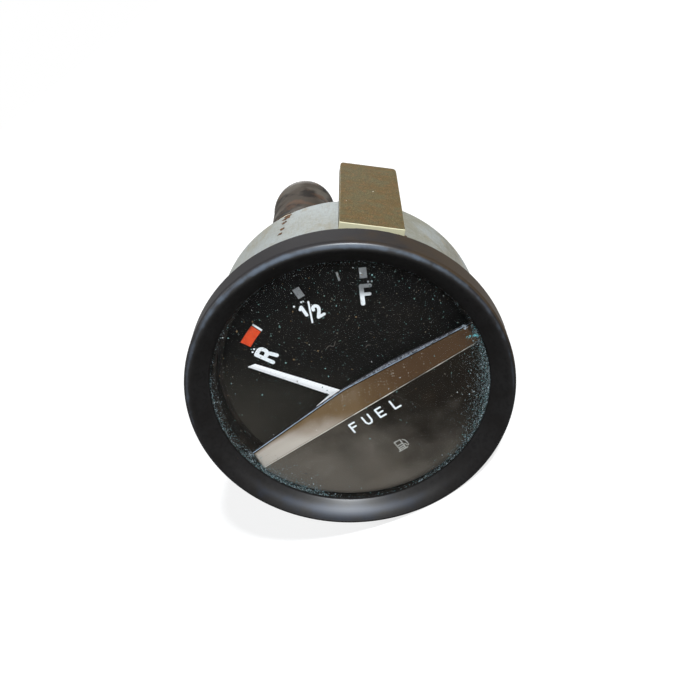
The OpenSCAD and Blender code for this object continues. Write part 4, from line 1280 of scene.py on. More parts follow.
@dataclass
class FrontGlass:
    """The flat glass with its seal, the dust on it and the bloom round its edge.

    Each crust spot is a dial angle, a width in degrees and a cover. Each heap is x, y, two
    spreads, a lean in degrees, a colour and a number of crumbs.
    """

    radius: float = 27.4
    back_z: float = 1.9
    visible: float = 24.6
    edge: float = 24.78
    bloom_width: float = 2.6
    crust_r: float = 24.74
    dust_count: int = 1350
    crust_count: int = 6600
    speck_reflection_pairs: int = 26
    crust_spots: tuple[Place, ...] = (
        (104.0, 9.0, 0.55), (118.0, 12.0, 0.85), (134.0, 12.0, 0.8), (152.0, 12.0, 0.45),
        (172.0, 12.0, 0.28), (236.0, 9.0, 0.95), (247.0, 10.0, 1.0), (262.0, 10.0, 0.55),
        (282.0, 14.0, 0.4), (300.0, 10.0, 0.2), (20.0, 30.0, 0.06))
    heaps: tuple[tuple[float, float, float, float, float, Place, int], ...] = (
        (23.5, -3.7, 0.16, 0.6, 62.0, (112, 198, 206), 70),
        (23.0, -1.3, 0.25, 0.5, -12.0, (176, 190, 202), 50),
        (-23.3, -1.2, 0.3, 0.4, 30.0, (150, 164, 172), 60))
    seed: int = 41

    def crust_cover(self, angle: np.ndarray) -> np.ndarray:
        """Gives how much bloom lies at each dial angle: a sum of humps round the edge.

        Args:
            angle: Dial angles in degrees.

        Returns:
            The cover, 0 to 1.
        """
        total = np.full(np.shape(angle), 0.03)
        for middle, width, height in self.crust_spots:
            total = total + height * dial_hump(angle, middle, width)
        return np.clip(total, 0, 1)

    def bloom(self) -> Skin:
        """Makes the thin bloom: a flat ring whose cover thins inwards.

        Returns:
            The ring.
        """
        angle = np.arange(240) * 1.5
        inward = np.linspace(0, 1, 14)[:, None]
        grid = around(self.edge - inward * self.bloom_width, GLASS_Z + 0.012, np.radians(angle))
        width = 0.15 + 0.85 * self.crust_cover(angle)
        cover = np.clip(1.0 - inward / width, 0, 1) * (0.35 + 0.65 * self.crust_cover(angle))
        return grid_skin(grid, wrap_columns=True, cover=cover)

    @staticmethod
    def flat_flecks(x: np.ndarray, y: np.ndarray, lift: float, reach: np.ndarray,
                    tints: np.ndarray, rng: np.random.Generator) -> Skin:
        """Lays flakes on the glass, each a hair higher or lower than the next.

        Args:
            x: Each flake's x.
            y: Each flake's y.
            lift: How high they all lie.
            reach: Each flake's size.
            tints: Each flake's colour.
            rng: The seeded random source.

        Returns:
            The flakes.
        """
        z = GLASS_Z + lift + rng.uniform(0, 0.01, len(x))
        return flecks(np.stack([x, y, z], axis=1), reach, tints, rng)

    def dust(self, rng: np.random.Generator) -> Skin:
        """Scatters dust over the glass, most of it dull and towards the top right.

        Args:
            rng: The seeded random source.

        Returns:
            The dust.
        """
        tries = self.dust_count * 3
        radius = self.visible * np.sqrt(rng.uniform(0, 1, tries))
        turn = rng.uniform(0, TURN, tries)
        x, y = radius * np.sin(turn), radius * np.cos(turn)
        settled = np.clip(0.42 + 0.03 * (y + 0.35 * x), 0.2, 1.0)
        kept = np.flatnonzero(rng.uniform(0, 1, tries) < settled)[:self.dust_count]
        count = len(kept)
        palette = np.array([paint(74, 70, 62), paint(112, 104, 92), paint(96, 130, 126),
                            paint(66, 86, 84), paint(150, 200, 200), paint(226, 236, 236),
                            paint(136, 110, 74)])
        pick = rng.choice(len(palette), count, p=[0.3, 0.22, 0.18, 0.15, 0.06, 0.03, 0.06])
        reach = np.clip(rng.lognormal(-2.98, 0.42, count), 0.025, 0.15)
        return self.flat_flecks(x[kept], y[kept], 0.015, reach, palette[pick], rng)

    def crust(self, rng: np.random.Generator) -> Skin:
        """Scatters crumbs of the bloom along the edge, thickest where the cover is.

        Args:
            rng: The seeded random source.

        Returns:
            The crumbs.
        """
        tries = self.crust_count * 4
        angle = rng.uniform(0, 360, tries)
        kept = angle[rng.uniform(0, 1, tries) < self.crust_cover(angle)][:self.crust_count]
        cover = self.crust_cover(kept)
        inward = rng.gamma(1.15, 0.6, len(kept)) * (0.25 + 1.5 * cover)
        radius = np.clip(self.crust_r - inward, 18, self.crust_r)
        turn = np.radians(kept)
        palette = np.array([paint(100, 114, 116), paint(132, 150, 156), paint(94, 142, 146),
                            paint(62, 70, 74), paint(186, 206, 214), paint(96, 92, 84)])
        pick = rng.choice(len(palette), len(kept), p=[0.26, 0.22, 0.1, 0.26, 0.08, 0.08])
        reach = np.clip(rng.lognormal(-3.16, 0.38, len(kept)), 0.022, 0.12)
        return self.flat_flecks(radius * np.sin(turn), radius * np.cos(turn), 0.02, reach,
                                palette[pick], rng)

    def crumbs(self, rng: np.random.Generator) -> Skin:
        """Lays small heaps of crumbs at both ends of the mask's strip, and specks over it,
        each paired with a painted reflection of itself.

        Args:
            rng: The seeded random source.

        Returns:
            The crumbs.
        """
        skins = []
        for x, y, wide, high, turn, colour, count in self.heaps:
            a, b = rng.normal(0, wide, count), rng.normal(0, high, count)
            lean = math.radians(turn)
            tints = np.array([paint(*colour)]) * rng.uniform(0.5, 1.1, (count, 1))
            reach = np.clip(rng.lognormal(-3.0, 0.35, count), 0.03, 0.12)
            skins.append(self.flat_flecks(
                x + a * math.cos(lean) - b * math.sin(lean),
                y + a * math.sin(lean) + b * math.cos(lean), 0.03, reach, tints, rng))
        x = rng.uniform(-6.5, 15.0, self.speck_reflection_pairs)
        y = -1.3 - 0.085 * (x + 6.5) + rng.uniform(-1.6, 1.3, self.speck_reflection_pairs)
        tints = np.tile(paint(172, 164, 150), (self.speck_reflection_pairs, 1))
        reach = np.full(self.speck_reflection_pairs, 0.066)
        # The second speck of each pair is a painted reflection of the first.
        for apart in (0.0, 0.56):
            skins.append(self.flat_flecks(x + 0.5 * apart, y + apart, 0.03, reach, tints, rng))
        return Skin.joined(skins)

    @staticmethod
    def lint() -> Skin:
        """Makes two short curled fibres on the glass as thin strokes.

        Returns:
            The fibres.
        """
        curls = (((1.2, 8.9), (2.0, 9.1), (2.6, 8.6), (3.4, 9.2)),
                 ((7.0, 5.2), (7.5, 5.4), (7.9, 5.1)))
        skins = [stroke(smooth_path(curl), 0.09, GLASS_Z + 0.02) for curl in curls]
        for skin in skins:
            skin.marks["tint"] = np.tile(paint(88, 82, 78), (len(skin.points), 1))
        return Skin.joined(skins)

    def build(self) -> None:
        """Builds the glass, its seal, its dust and its bloom."""
        rng = np.random.default_rng(self.seed)
        path = rounded_path(((0, GLASS_Z, 0), (self.radius, GLASS_Z, 0.2),
                             (self.radius, self.back_z, 0.2), (0, self.back_z, 0)), spacing=3.0)
        shop.make("front_glass", turned(path, 160), FRONT_GLASS, Body.GAUGE, ("glass",))
        seal = rounded_path(((27.42, 1.0, 0.15), (28.2, 1.0, 0.25), (28.2, 3.0, 0.25),
                             (27.42, 3.0, 0.15)), closed=True, steps=4)
        shop.make("seal_ring", turned(seal, 160, closed=True), SEAL_RUBBER, Body.GAUGE,
                  ("glass_seal",))
        shop.make("glass_bloom", self.bloom(), BLOOM, Body.GAUGE, facing=AHEAD)
        grit = Skin.joined([self.dust(rng), self.crust(rng), self.crumbs(rng), self.lint()])
        shop.make("glass_dust_and_reflections", grit, DUST_AND_REFLECTIONS, Body.GAUGE, facing=AHEAD)


@dataclass
class DialMask:
    """The moulded mask: a seat ring and skirt, a half-moon face and a slope to its foot."""

    rim: float = 24.85
    bore: float = 24.0
    face_z: float = 1.8
    fold_y: float = -5.87
    fold_half: float = 24.1
    apex: Place = (-3.0, -2.4, -1.3)
    end: Place = (23.84, -2.6, 1.32)
    sheet: float = 0.35
    fold_round: float = 0.2
    columns: int = 161
    dust_count: int = 900
    seed: int = 19

    def seat(self) -> Skin:
        """Turns the seat: plate, rim bead, skirt and its foot on the dial in one outline.

        Returns:
            The closed ring.
        """
        low = DIAL_Z + 0.005
        outline = rounded_path((
            (23.2, low, 0.01), (23.2, low + 0.03, 0.01), (self.bore, low + 0.03, 0.12),
            (self.bore, 1.3, 0.12), (26.4, 1.3, 0.1), (26.4, 1.9, 0.1), (27.4, 1.9, 0.15),
            (27.4, 1.0, 0.1), (24.35, 1.0, 0.1), (24.35, low, 0.05)), closed=True, steps=4)
        return turned(outline, 192, closed=True)

    def foot(self, share: np.ndarray) -> np.ndarray:
        """Gives the slope's foot: from an apex low over the dial it rises in two straight
        lines to the seat at both ends; the square root of u^2 + 0.002 rounds the apex.

        Args:
            share: Each column's share of the width, from 0 at the left to 1 at the right.

        Returns:
            The foot's points.
        """
        x = (2 * share - 1) * self.end[0]
        u = np.where(x < self.apex[0], (self.apex[0] - x) / (self.apex[0] + self.end[0]),
                     (x - self.apex[0]) / (self.end[0] - self.apex[0]))
        rise = (np.sqrt(u ** 2 + 0.002) - 0.0447) / 0.9563
        return np.stack([x, self.apex[1] + rise * (self.end[1] - self.apex[1]),
                         self.apex[2] + rise * (self.end[2] - self.apex[2])], axis=1)

    @staticmethod
    def ledge(x: np.ndarray) -> np.ndarray:
        """Gives how far the foot's flat ledge reaches over the dial: most right of the middle."""
        return 0.52 + 0.5 * hump(x, 9, 8)

    def shield(self) -> Skin:
        """Makes the half-moon, the slope and its ledge as one sheet.

        Rows run from under the rim, over it, across the half-moon to the fold, round the fold
        by a quadratic curve, down the slope to the foot, and by a groove and a bead, which
        carries a painted highlight, to the ledge. Columns run from end to end: the rim's by
        angle, the fold's and the foot's by their share of the width.

        Returns:
            The open sheet, with marks for how it has aged, for its coat, and for its painted
            highlights and reflections.
        """
        share = np.linspace(0, 1, self.columns)
        low = math.degrees(math.acos(self.fold_y / self.rim))
        turn = np.radians(-low - share * (360 - 2 * low))
        flat = np.full_like(share, self.face_z)
        fold = np.stack([(2 * share - 1) * self.fold_half, np.full_like(share, self.fold_y),
                         flat], axis=1)
        foot = self.foot(share)
        edge = around(self.rim, flat, turn)
        under, corner = (edge * [1.002, 1.002, 1.0] - [0.0, 0.0, drop] for drop in (0.48, 0.12))
        to_fold = fold - edge
        length = np.linalg.norm(to_fold, axis=1)[:, None] + 1e-6
        near = edge + to_fold / length * np.minimum(0.12, 0.3 * length)
        before = fold - to_fold / length * np.minimum(self.fold_round, 0.4 * length)
        down = foot - fold
        after = fold + down / np.linalg.norm(down, axis=1)[:, None] * self.fold_round
        moon = near + (before - near) * np.linspace(0, 1, 22)[:, None, None]
        t = np.linspace(0, 1, 8)[1:-1, None, None]
        bend = (1 - t) ** 2 * before + 2 * t * (1 - t) * fold + t ** 2 * after
        slope = after + (foot - after) * np.linspace(0, 1, 12)[:, None, None]
        steps = ((0.14, 0.13), (0.24, 0.13), (0.32, 0.03), (0.42, 0.03), (0.48, 0.09),
                 (self.ledge(foot[:, 0]), 0.09))
        tail = np.stack([foot + np.stack([0 * share, reach + 0 * share, 0 * share - drop], axis=1)
                         for reach, drop in steps])
        grid = np.concatenate([under[None], corner[None], moon, bend, slope, tail])
        on_face, on_slope = slice(26), slice(30, 42)
        marks = {name: np.zeros(grid.shape[:2])
                 for name in ("wear", "fade", "slope", "warm", "pale", "gloss", "rim", "haze")}
        # Painted highlight: a cream line along the rim's edge and, brighter to the left, the fold.
        marks["wear"][0:2] = 0.62
        marks["wear"][26:29] = 0.52 + 0.48 * (1 - share)
        # Painted highlight on the bead, stronger to the left.
        marks["rim"][-4:-2] = 0.5 + 0.45 * (1 - share)
        marks["haze"][-2:] = 0.3 + 0.5 * share
        across, up = grid[on_face, :, 0], grid[on_face, :, 1]
        # Painted reflection: the half-moon lighter towards its lower left.
        marks["fade"][on_face] = np.clip((8 - across - 0.9 * (up + 8)) / 30, 0, 1)
        x, y = grid[on_slope, :, 0], grid[on_slope, :, 1]
        marks["slope"][on_slope] = 1.0
        marks["gloss"][on_slope] = 0.12
        # Painted reflection: the slope painted paler towards its left end, pale at the end itself.
        marks["warm"][on_slope] = np.clip((12 - x) / 26, 0, 1)
        marks["pale"][on_slope] = np.clip((-1.5 - 2.4 * (y - self.fold_y) - x) / 12.5, 0, 1)
        marks["pale"][39:42] *= [[0.85], [0.6], [0.35]]
        return grid_skin(grid, **marks)

    def dust(self) -> Skin:
        """Lays fine dust on the ledge, most of it to the right.

        Returns:
            The dust.
        """
        rng = np.random.default_rng(self.seed)
        count = self.dust_count
        place = self.foot(np.clip(rng.normal(0.68, 0.15, count), 0.02, 0.98))
        reach = self.ledge(place[:, 0])
        place[:, 1] += 0.5 + (reach - 0.5) * rng.uniform(0, 1, count) ** 1.3
        place[:, 2] += -0.075
        tints = np.array([paint(170, 175, 186)]) * rng.uniform(0.25, 1.1, (count, 1))
        size = np.clip(rng.lognormal(-2.9, 0.35, count), 0.03, 0.1)
        return flecks(place, size, tints, rng)

    def build(self) -> None:
        """Builds the mask's shield, its seat and the dust."""
        piece = shop.make("mask_shield", self.shield(), MASK_BLACK, Body.GAUGE, facing=AHEAD,
                          smooth=50)
        wall = piece.modifiers.new("wall", "SOLIDIFY")
        wall.thickness = self.sheet * MM
        wall.offset = -1.0
        shop.make("mask_seat", self.seat(), SKIRT_BLACK, Body.GAUGE, ("dial_mask",))
        shop.make("mask_dust", self.dust(), DUST_AND_REFLECTIONS, Body.GAUGE, facing=AHEAD)


@dataclass
class Lettering:
    """Generic marks: R, a half and F at the scale, calibration dots, and a plain legend."""

    radius: float = 23.1
    bold: float = 0.78
    thin: float = 0.62
    dot_r: float = 25.55
    dot_angles: tuple[float, ...] = (-26.6, -28.1, -0.9, 2.6, 30.5, 31.9)

    def at_scale(self, angle: float, skins: Sequence[Skin]) -> Skin:
        """Carries glyphs from their own upright place to a dial angle about the pivot.

        Args:
            angle: The dial angle.
            skins: Strokes about the glyph's middle.

        Returns:
            The carried glyph.
        """
        middle = about_pivot(angle, self.radius)
        turn = math.radians(angle)
        return painted(skins).moved(
            (middle[0], middle[1], DIAL_Z + 0.03), (math.cos(turn), -math.sin(turn), 0),
            (math.sin(turn), math.cos(turn), 0))

    def reserve(self) -> Skin:
        """Draws the R: a stem, a bowl and a leg.

        Returns:
            The painted letter.
        """
        w = self.bold
        bowl = smooth_path(((-0.72, 1.62), (0.1, 1.62), (0.55, 1.5), (0.82, 1.15), (0.86, 0.8),
                            (0.8, 0.42), (0.52, 0.1), (0.1, -0.02), (-0.72, -0.02)), 4)
        leg = smooth_path(((0.1, -0.02), (0.55, -0.25), (0.72, -0.8), (0.9, -1.7)))
        return self.at_scale(-26.9, [stroke(((-0.75, -1.72), (-0.75, 1.62)), w),
                                     stroke(bowl, w), stroke(leg, w)])

    def half(self) -> Skin:
        """Draws the half: a small 1, a thin slash and a small 2.

        Returns:
            The painted number.
        """
        w = self.thin
        two = smooth_path(((0.42, 0.05), (0.55, 0.42), (0.95, 0.6), (1.34, 0.35), (1.4, -0.15),
                           (1.1, -0.72), (0.45, -1.62)))
        return self.at_scale(3.9, [
            stroke(((-1.55, 1.28), (-1.15, 1.6)), w * 0.85),
            stroke(((-1.12, 1.6), (-1.12, -0.2)), w), stroke(((0.52, 1.85), (-1.05, -1.95)), 0.34),
            stroke(two, w), stroke(((0.42, -1.66), (1.62, -1.62)), w * 0.9)])

    def full(self) -> Skin:
        """Draws the F: a stem and two bars.

        Returns:
            The painted letter.
        """
        w = self.bold
        return self.at_scale(28.9, [
            stroke(((-0.58, -1.68), (-0.58, 1.72)), w),
            stroke(((-0.58, 1.7), (0.95, 1.7)), w * 0.92),
            stroke(((-0.58, 0.1), (0.72, 0.1)), w * 0.85)])

    def dots(self) -> Skin:
        """Draws the calibration dots: small discs beside each mark.

        Returns:
            The dots.
        """
        turn = full_circle(16)
        rings = [around(0.19, DIAL_Z + 0.03, math.pi / 2 - turn, about_pivot(angle, self.dot_r))
                 for angle in self.dot_angles]
        return Skin.joined([Skin(ring, [tuple(range(16))], {}) for ring in rings])

    @staticmethod
    def legend() -> Skin:
        """Draws the spaced word for what the gauge reads, in plain capitals on the half-moon.

        Returns:
            The painted word.
        """
        h, w, line = 0.95, 0.62, 0.37
        letters = (
            (-4.74, [[(-w, -h), (-w, h)], [(-w, h), (w * 0.8, h)], [(-w, 0.1), (w * 0.6, 0.1)]]),
            (-1.84, [[(-w, h), (-w, -0.4), (-w * 0.55, -h * 0.94), (0, -h), (w * 0.55, -h * 0.94),
                      (w, -0.4), (w, h)]]),
            (1.03, [[(-w, -h), (-w, h)], [(-w, h), (w * 0.8, h)], [(-w, 0), (w * 0.7, 0)],
                    [(-w, -h), (w * 0.85, -h)]]),
            (4.26, [[(-w, h), (-w, -h)], [(-w, -h), (w * 0.85, -h)]]))
        skins = [stroke(np.array(path) + [x, 0.0], line) for x, paths in letters for path in paths]
        return painted(skins).moved((0.0, -8.15, 1.82))

    @staticmethod
    def pump() -> Skin:
        """Draws a plain fuel pump sign: a body with a window, a foot and a hose.

        Returns:
            The painted sign.
        """
        line = 0.26
        paths = (((-0.75, -1.1), (-0.75, 1.1)), ((-0.75, 1.1), (0.45, 1.1)),
                 ((0.45, 1.1), (0.45, -1.1)), ((-1.05, -1.12), (0.75, -1.12)),
                 ((-0.75, 0.15), (0.45, 0.15)), ((-0.7, -0.35), (0.4, -0.35)),
                 ((-0.7, -0.75), (0.4, -0.75)))
        hose = smooth_path(((0.5, -0.2), (0.85, -0.25), (0.95, -0.7), (1.2, -0.75), (1.3, -0.3),
                            (1.22, 0.4), (0.85, 0.9)))
        skins = [*(stroke(path, line) for path in paths), stroke(hose, line * 0.8)]
        return painted(skins).moved((0.0, -16.4, 1.82))

    def build(self) -> None:
        """Builds the painted marks."""
        scale = Skin.joined([self.reserve(), self.half(), self.full(), self.dots()])
        shop.make("scale_lettering", scale, WHITE_PAINT, Body.GAUGE, facing=AHEAD)
        shop.make("mask_legend", self.legend(), WHITE_PAINT, Body.GAUGE, facing=AHEAD)
        shop.make("mask_pump_sign", self.pump(), FAINT_PAINT, Body.GAUGE, facing=AHEAD)


@dataclass
class PointerNeedle:
    """The white pointer: a tapered strip with a slanted tip and a lug, its hub and weight."""

    length: float = 25.2965
    tail: float = 6.0
    root: float = 1.85
    tip: float = 1.0
    rest: float = -33.7
    face_z: float = -2.01
    thick: float = 0.25
    slant: float = 1.0

    def strip(self) -> Skin:
        """Makes the strip: a crowned section carried along the length, its width falling in a
        straight line to the tip, where the section is sheared by the slant.

        Returns:
            The closed strip.
        """
        along = np.concatenate([np.linspace(-self.tail, 0, 8),
                                np.linspace(0, self.length, 40)[1:]])
        width = np.where(along < 0, self.root,
                         self.root + (self.tip - self.root) * along / self.length)
        loop = rounded_path(((-0.5, 0.0, 0.0), (0.5, 0.0, 0.0), (0.5, -1.0, 0.0),
                             (-0.5, -1.0, 0.0)), closed=True, spacing=0.125)
        crown = 0.06 * (1 - (2 * loop[:, 0]) ** 2)
        z = self.face_z + loop[:, 1] * self.thick + np.where(loop[:, 1] > -0.5, crown - 0.06, 0)
        shear = self.slant * np.clip(along / self.length, 0, 1) ** 24
        x = loop[:, 0] * width[:, None]
        y = along[:, None] - shear[:, None] * (loop[:, 0] + 0.5)
        grid = np.stack([x, y, np.broadcast_to(z, x.shape)], axis=-1)
        return self.turned_to_rest(grid_skin(grid, wrap_columns=True, capped=True))

    def turned_to_rest(self, skin: Skin) -> Skin:
        """Turns a piece drawn with the pointer upright to the rest angle about the pivot.

        Args:
            skin: The piece, with the pivot at the origin.

        Returns:
            The piece in its place.
        """
        turn = math.radians(self.rest)
        return skin.moved((*PIVOT, 0), (math.cos(turn), -math.sin(turn), 0),
                          (math.sin(turn), math.cos(turn), 0))

    def lug(self) -> Skin:
        """Makes the lug: a thin white fin that leaves the root on its left side.

        Returns:
            The closed lug.
        """
        outline = rounded_path(((-0.4, 9.15, 0.05), (-4.3, 10.85, 0.08), (-3.4, 9.7, 0.3),
                                (-0.4, 7.8, 0.1)), closed=True, steps=3)
        rings = [np.column_stack([outline, np.full(len(outline), z)])
                 for z in (self.face_z - self.thick + 0.02, self.face_z - 0.03)]
        return self.turned_to_rest(grid_skin(np.stack(rings), wrap_columns=True, capped=True))

    def build(self) -> None:
        """Builds the pointer and dresses what turns with it."""
        shop.make("pointer_needle", self.strip(), NEEDLE_WHITE, Body.POINTER, ("pointer",))
        shop.make("pointer_lug", self.lug(), NEEDLE_WHITE, Body.POINTER)
        shop.refine("pointer_hub", DIAL_BLACK, Body.POINTER, 0.1)
        shop.coat_node("pointer_balance", PLATED_STEEL)
        shop.coat_node("pointer_spindle", PLATED_STEEL)
        shop.coat_node("pointer_crank", BRASS)


@dataclass
class CaseBody:
    """The zinc-plated can with its cork plugs, rust spots and the dial it carries.

    Each rust patch is a dial angle, a depth behind the bezel's back and a spread.
    """

    radius: float = 25.9
    plug_spots: tuple[Spot, ...] = ((11.873, -16.342), (19.731, 3.835))
    plug_r: float = 2.0
    rust_patches: tuple[Place, ...] = (
        (9.7, 20.9, 0.4), (8.8, 20.3, 0.5), (8.1, 19.4, 0.4), (7.4, 17.6, 0.4),
        (7.0, 14.8, 0.25), (6.4, 12.9, 0.25), (57.0, 8.5, 0.3), (92.0, 9.0, 0.7),
        (190.0, 12.0, 1.2), (140.0, 6.0, 0.8), (-95.0, 8.0, 1.0))
    patch_flecks: int = 46
    seed: int = 7

    def rust(self) -> Skin:
        """Scatters rust spots on the can's wall: a few patches, each a cloud of flakes.

        Returns:
            The flakes.
        """
        rng = np.random.default_rng(self.seed)
        count = self.patch_flecks
        angle = np.concatenate([rng.normal(a, s * 1.4, count) for a, _, s in self.rust_patches])
        depth = np.concatenate([rng.normal(d, s * 0.55, count) for _, d, s in self.rust_patches])
        depth = np.clip(depth, 1.2, 20.4)
        turn = np.radians(angle)
        centres = around(self.radius + 0.015, -depth, turn)
        right = np.stack([np.cos(turn), -np.sin(turn), 0 * turn], axis=1)
        palette = np.array([paint(96, 66, 44), paint(120, 84, 54), paint(70, 48, 36)])
        tints = palette[rng.integers(0, 3, len(turn))]
        reach = np.clip(rng.lognormal(-2.0, 0.5, len(turn)), 0.05, 0.32)
        return flecks(centres, reach, tints, rng, right, AHEAD)

    def build(self) -> None:
        """Builds the can, its plugs and its rust, and dresses the dial."""
        shop.refine("case", CASE_ZINC, Body.GAUGE, 0.1)
        shop.make("case_rust", self.rust(), RUST, Body.GAUGE)
        path = rounded_path(((0, BACK_Z, 0), (self.plug_r, BACK_Z, 0.05),
                             (self.plug_r, BACK_Z - 0.8, 0.3), (0, BACK_Z - 0.72, 0)),
                            spacing=0.35)
        plugs = [turned(path, 40, spot) for spot in self.plug_spots]
        shop.make("cork_plugs", Skin.joined(plugs), CORK, Body.GAUGE, ("adjuster_plugs",))
        shop.coat_node("dial_plate", DIAL_BLACK)
        shop.coat_node("scale_marks", WHITE_PAINT)
        shop.coat_node("reserve_mark", RED_PAINT)
        shop.refine("dial_screws", PLATED_STEEL, Body.GAUGE, 0.08)
        shop.coat_node("dial_pillars", BRASS)


@dataclass
class Movement:
    """The hot-wire movement behind the dial, dressed as it is packed."""

    def build(self) -> None:
        """Dresses each node of the movement."""
        finishes = {
            "movement_frame": PLATED_STEEL, "front_bush": BRASS, "rear_bush": BRASS,
            "rear_bridge": PLATED_STEEL, "bridge_screws": PLATED_STEEL,
            "anchor_screws": PLATED_STEEL, "strip_anchor": FIBRE, "bimetal_strip": BIMETAL,
            "bimetal_fork": BRASS, "heater_winding": HEATER_WIRE, "zero_adjuster": PLATED_STEEL,
            "range_adjuster": PLATED_STEEL, "link_wires": WIRE_RED}
        for node, finish in finishes.items():
            shop.coat_node(node, finish)


@dataclass
class ClampFittings:
    """The strap, its studs with real threads, washers, hexagon nuts and knurled nuts."""

    pitch: float = 20.0
    stud_r: float = 2.34
    thread: float = 0.81
    thread_deep: float = 0.36
    stud_end: float = -46.0
    washer_r: float = 4.2
    hex_flat: float = 4.114
    cone_r: float = 4.05
    grooves: int = 26

    def stud_place(self, sign: int) -> Spot:
        """Gives the x and y of the upper stud, for 1, or of the lower one, for -1."""
        return strap_point(sign * self.pitch / 2, 0)

    def stud(self, sign: int) -> Skin:
        """Makes a stud: plain turned steps inside the case, then a thread whose radius rises
        and falls with the depth over the pitch less the turn.

        Args:
            sign: 1 for the upper stud, -1 for the lower.

        Returns:
            The closed stud.
        """
        centre = self.stud_place(sign)
        inside = np.array([(0, -5.96), (2.5, -5.96), (2.6, -6.05), (2.6, -6.44), (1.6, -6.46),
                           (1.6, -7.46), (2.9, -7.47), (2.9, -20.88), (2.34, -20.9),
                           (2.34, -21.6)])
        depth = np.arange(-21.8, self.stud_end, -self.thread / 9)[:, None]
        turn = full_circle(40)
        phase = -depth / self.thread - turn / TURN
        ridge = (0.5 + 0.5 * np.cos(TURN * phase)) ** 0.8
        tip_r = 1.5
        radius = np.minimum(self.stud_r - self.thread_deep + self.thread_deep * ridge,
                            tip_r + 0.05 + depth - self.stud_end)
        tip = np.array([(tip_r, self.stud_end), (0, self.stud_end)])
        return grid_skin(np.concatenate([
            around(inside[:, :1], inside[:, 1:], turn, centre), around(radius, depth, turn, centre),
            around(tip[:, :1], tip[:, 1:], turn, centre)]), wrap_columns=True)

    def hex_nut(self, sign: int) -> Skin:
        """Makes a hexagon nut: a hexagon whose corners are cut by a cone at both faces.

        Args:
            sign: 1 for the upper nut, -1 for the lower.

        Returns:
            The closed ring.
        """
        front = -22.5 if sign > 0 else -23.3
        drop = np.array([0.3, 0.0, 0.0, 0.14, 0.34, 0.6, 1.3, 2.0, 2.26, 2.46, 2.6, 2.6, 2.3])
        low = self.cone_r
        near, far = low + 0.14 * 1.7, low + 0.34 * 1.7
        cone = np.array([0, 0, low, near, far, 9, 9, 9, far, near, low, 0, 0.0])[:, None]
        hole = np.array([2.38, 2.62, *[0.0] * 9, 2.62, 2.38])[:, None]
        turn = full_circle(120)
        six = hexed(turn - math.atan2(STRAP[1], -STRAP[0]), self.hex_flat)
        radius = np.where(hole > 0, hole, np.minimum(six, cone))
        grid = around(radius, front - drop[:, None], turn, self.stud_place(sign))
        return grid_skin(grid, wrap_rows=True, wrap_columns=True)

    def washer(self, sign: int, front: float, hole: float, thick: float = 0.8) -> Skin:
        """Turns a washer with softened edges.

        Args:
            sign: 1 for the upper washer, -1 for the lower.
            front: The z of its face towards the driver.
            hole: The hole's radius.
            thick: Its thickness.

        Returns:
            The washer.
        """
        outline = rounded_path(((hole, front, 0.08), (self.washer_r, front, 0.16),
                                (self.washer_r, front - thick, 0.16),
                                (hole, front - thick, 0.08)), closed=True, steps=4)
        return turned(outline, 72, self.stud_place(sign), closed=True)

    def knurled_nut(self, sign: int) -> Skin:
        """Makes a thumb nut: a collar, then a grip whose radius falls in by rounded grooves
        all round, fading out at the chamfers.

        Args:
            sign: 1 for the upper nut, -1 for the lower.

        Returns:
            The closed ring.
        """
        rows = np.array([
            (2.4, 37.8, 0), (2.6, 37.8, 0), (3.5, 37.8, 0), (3.7, 37.95, 0), (3.7, 38.6, 0),
            (3.7, 39.2, 0), (4.4, 39.2, 0), (4.75, 39.25, 0.3), (5.0, 39.55, 1), (5.0, 40.1, 1),
            (5.0, 40.8, 1), (5.0, 41.5, 1), (5.0, 42.05, 1), (4.75, 42.35, 0.3), (4.4, 42.4, 0),
            (3.3, 42.4, 0), (3.2, 42.2, 0), (2.75, 42.2, 0), (2.4, 42.0, 0)])
        turn = full_circle(self.grooves * 10)
        groove = (0.5 - 0.5 * np.cos(self.grooves * turn)) ** 2.2
        grid = around(rows[:, :1] - 0.3 * rows[:, 2:] * groove, -rows[:, 1:2], turn,
                      self.stud_place(sign))
        return grid_skin(grid, wrap_rows=True, wrap_columns=True)

    @staticmethod
    def soften_strap(work: bmesh.types.BMesh, mark: object) -> None:
        """Rounds the strap's corners at its bends and bares its feet.

        From the bend's start the half width falls by a quarter circle, and stays so over the
        base, so that each corner is round. Faces at the feet get the wear mark.

        Args:
            work: The strap's mesh.
            mark: Its wear layer.
        """
        for level in (3.18, 33.2, 33.9, 34.4, 34.8, 35.1, 35.3, 35.45, 35.58, 35.68, 35.76):
            bmesh.ops.bisect_plane(work, geom=[*work.verts, *work.edges, *work.faces],
                                   plane_co=(0, level * MM, 0), plane_no=UP, dist=1e-7)
        for vert in work.verts:
            x, depth, height = vert.co / MM
            along = x * STRAP[0] + height * STRAP[1]
            side = x * STRAP[1] - height * STRAP[0]
            bend = min(1.0, max(0.0, (depth - 33.2) / 2.6))
            base = min(1.0, max(0.0, (26.7 - abs(along)) / 0.8)) if depth > 34.0 else 0.0
            waist = 1.35 * max(1 - math.sqrt(1 - bend * bend), base)
            if abs(side) > 3.6:
                side -= math.copysign(waist * min(1.0, (abs(side) - 3.6) / 1.9), side)
                vert.co.x = (along * STRAP[0] + side * STRAP[1]) * MM
                vert.co.z = (along * STRAP[1] - side * STRAP[0]) * MM
            vert[mark] = 1.3 if depth < 3.13 else min(vert[mark], 0.9)

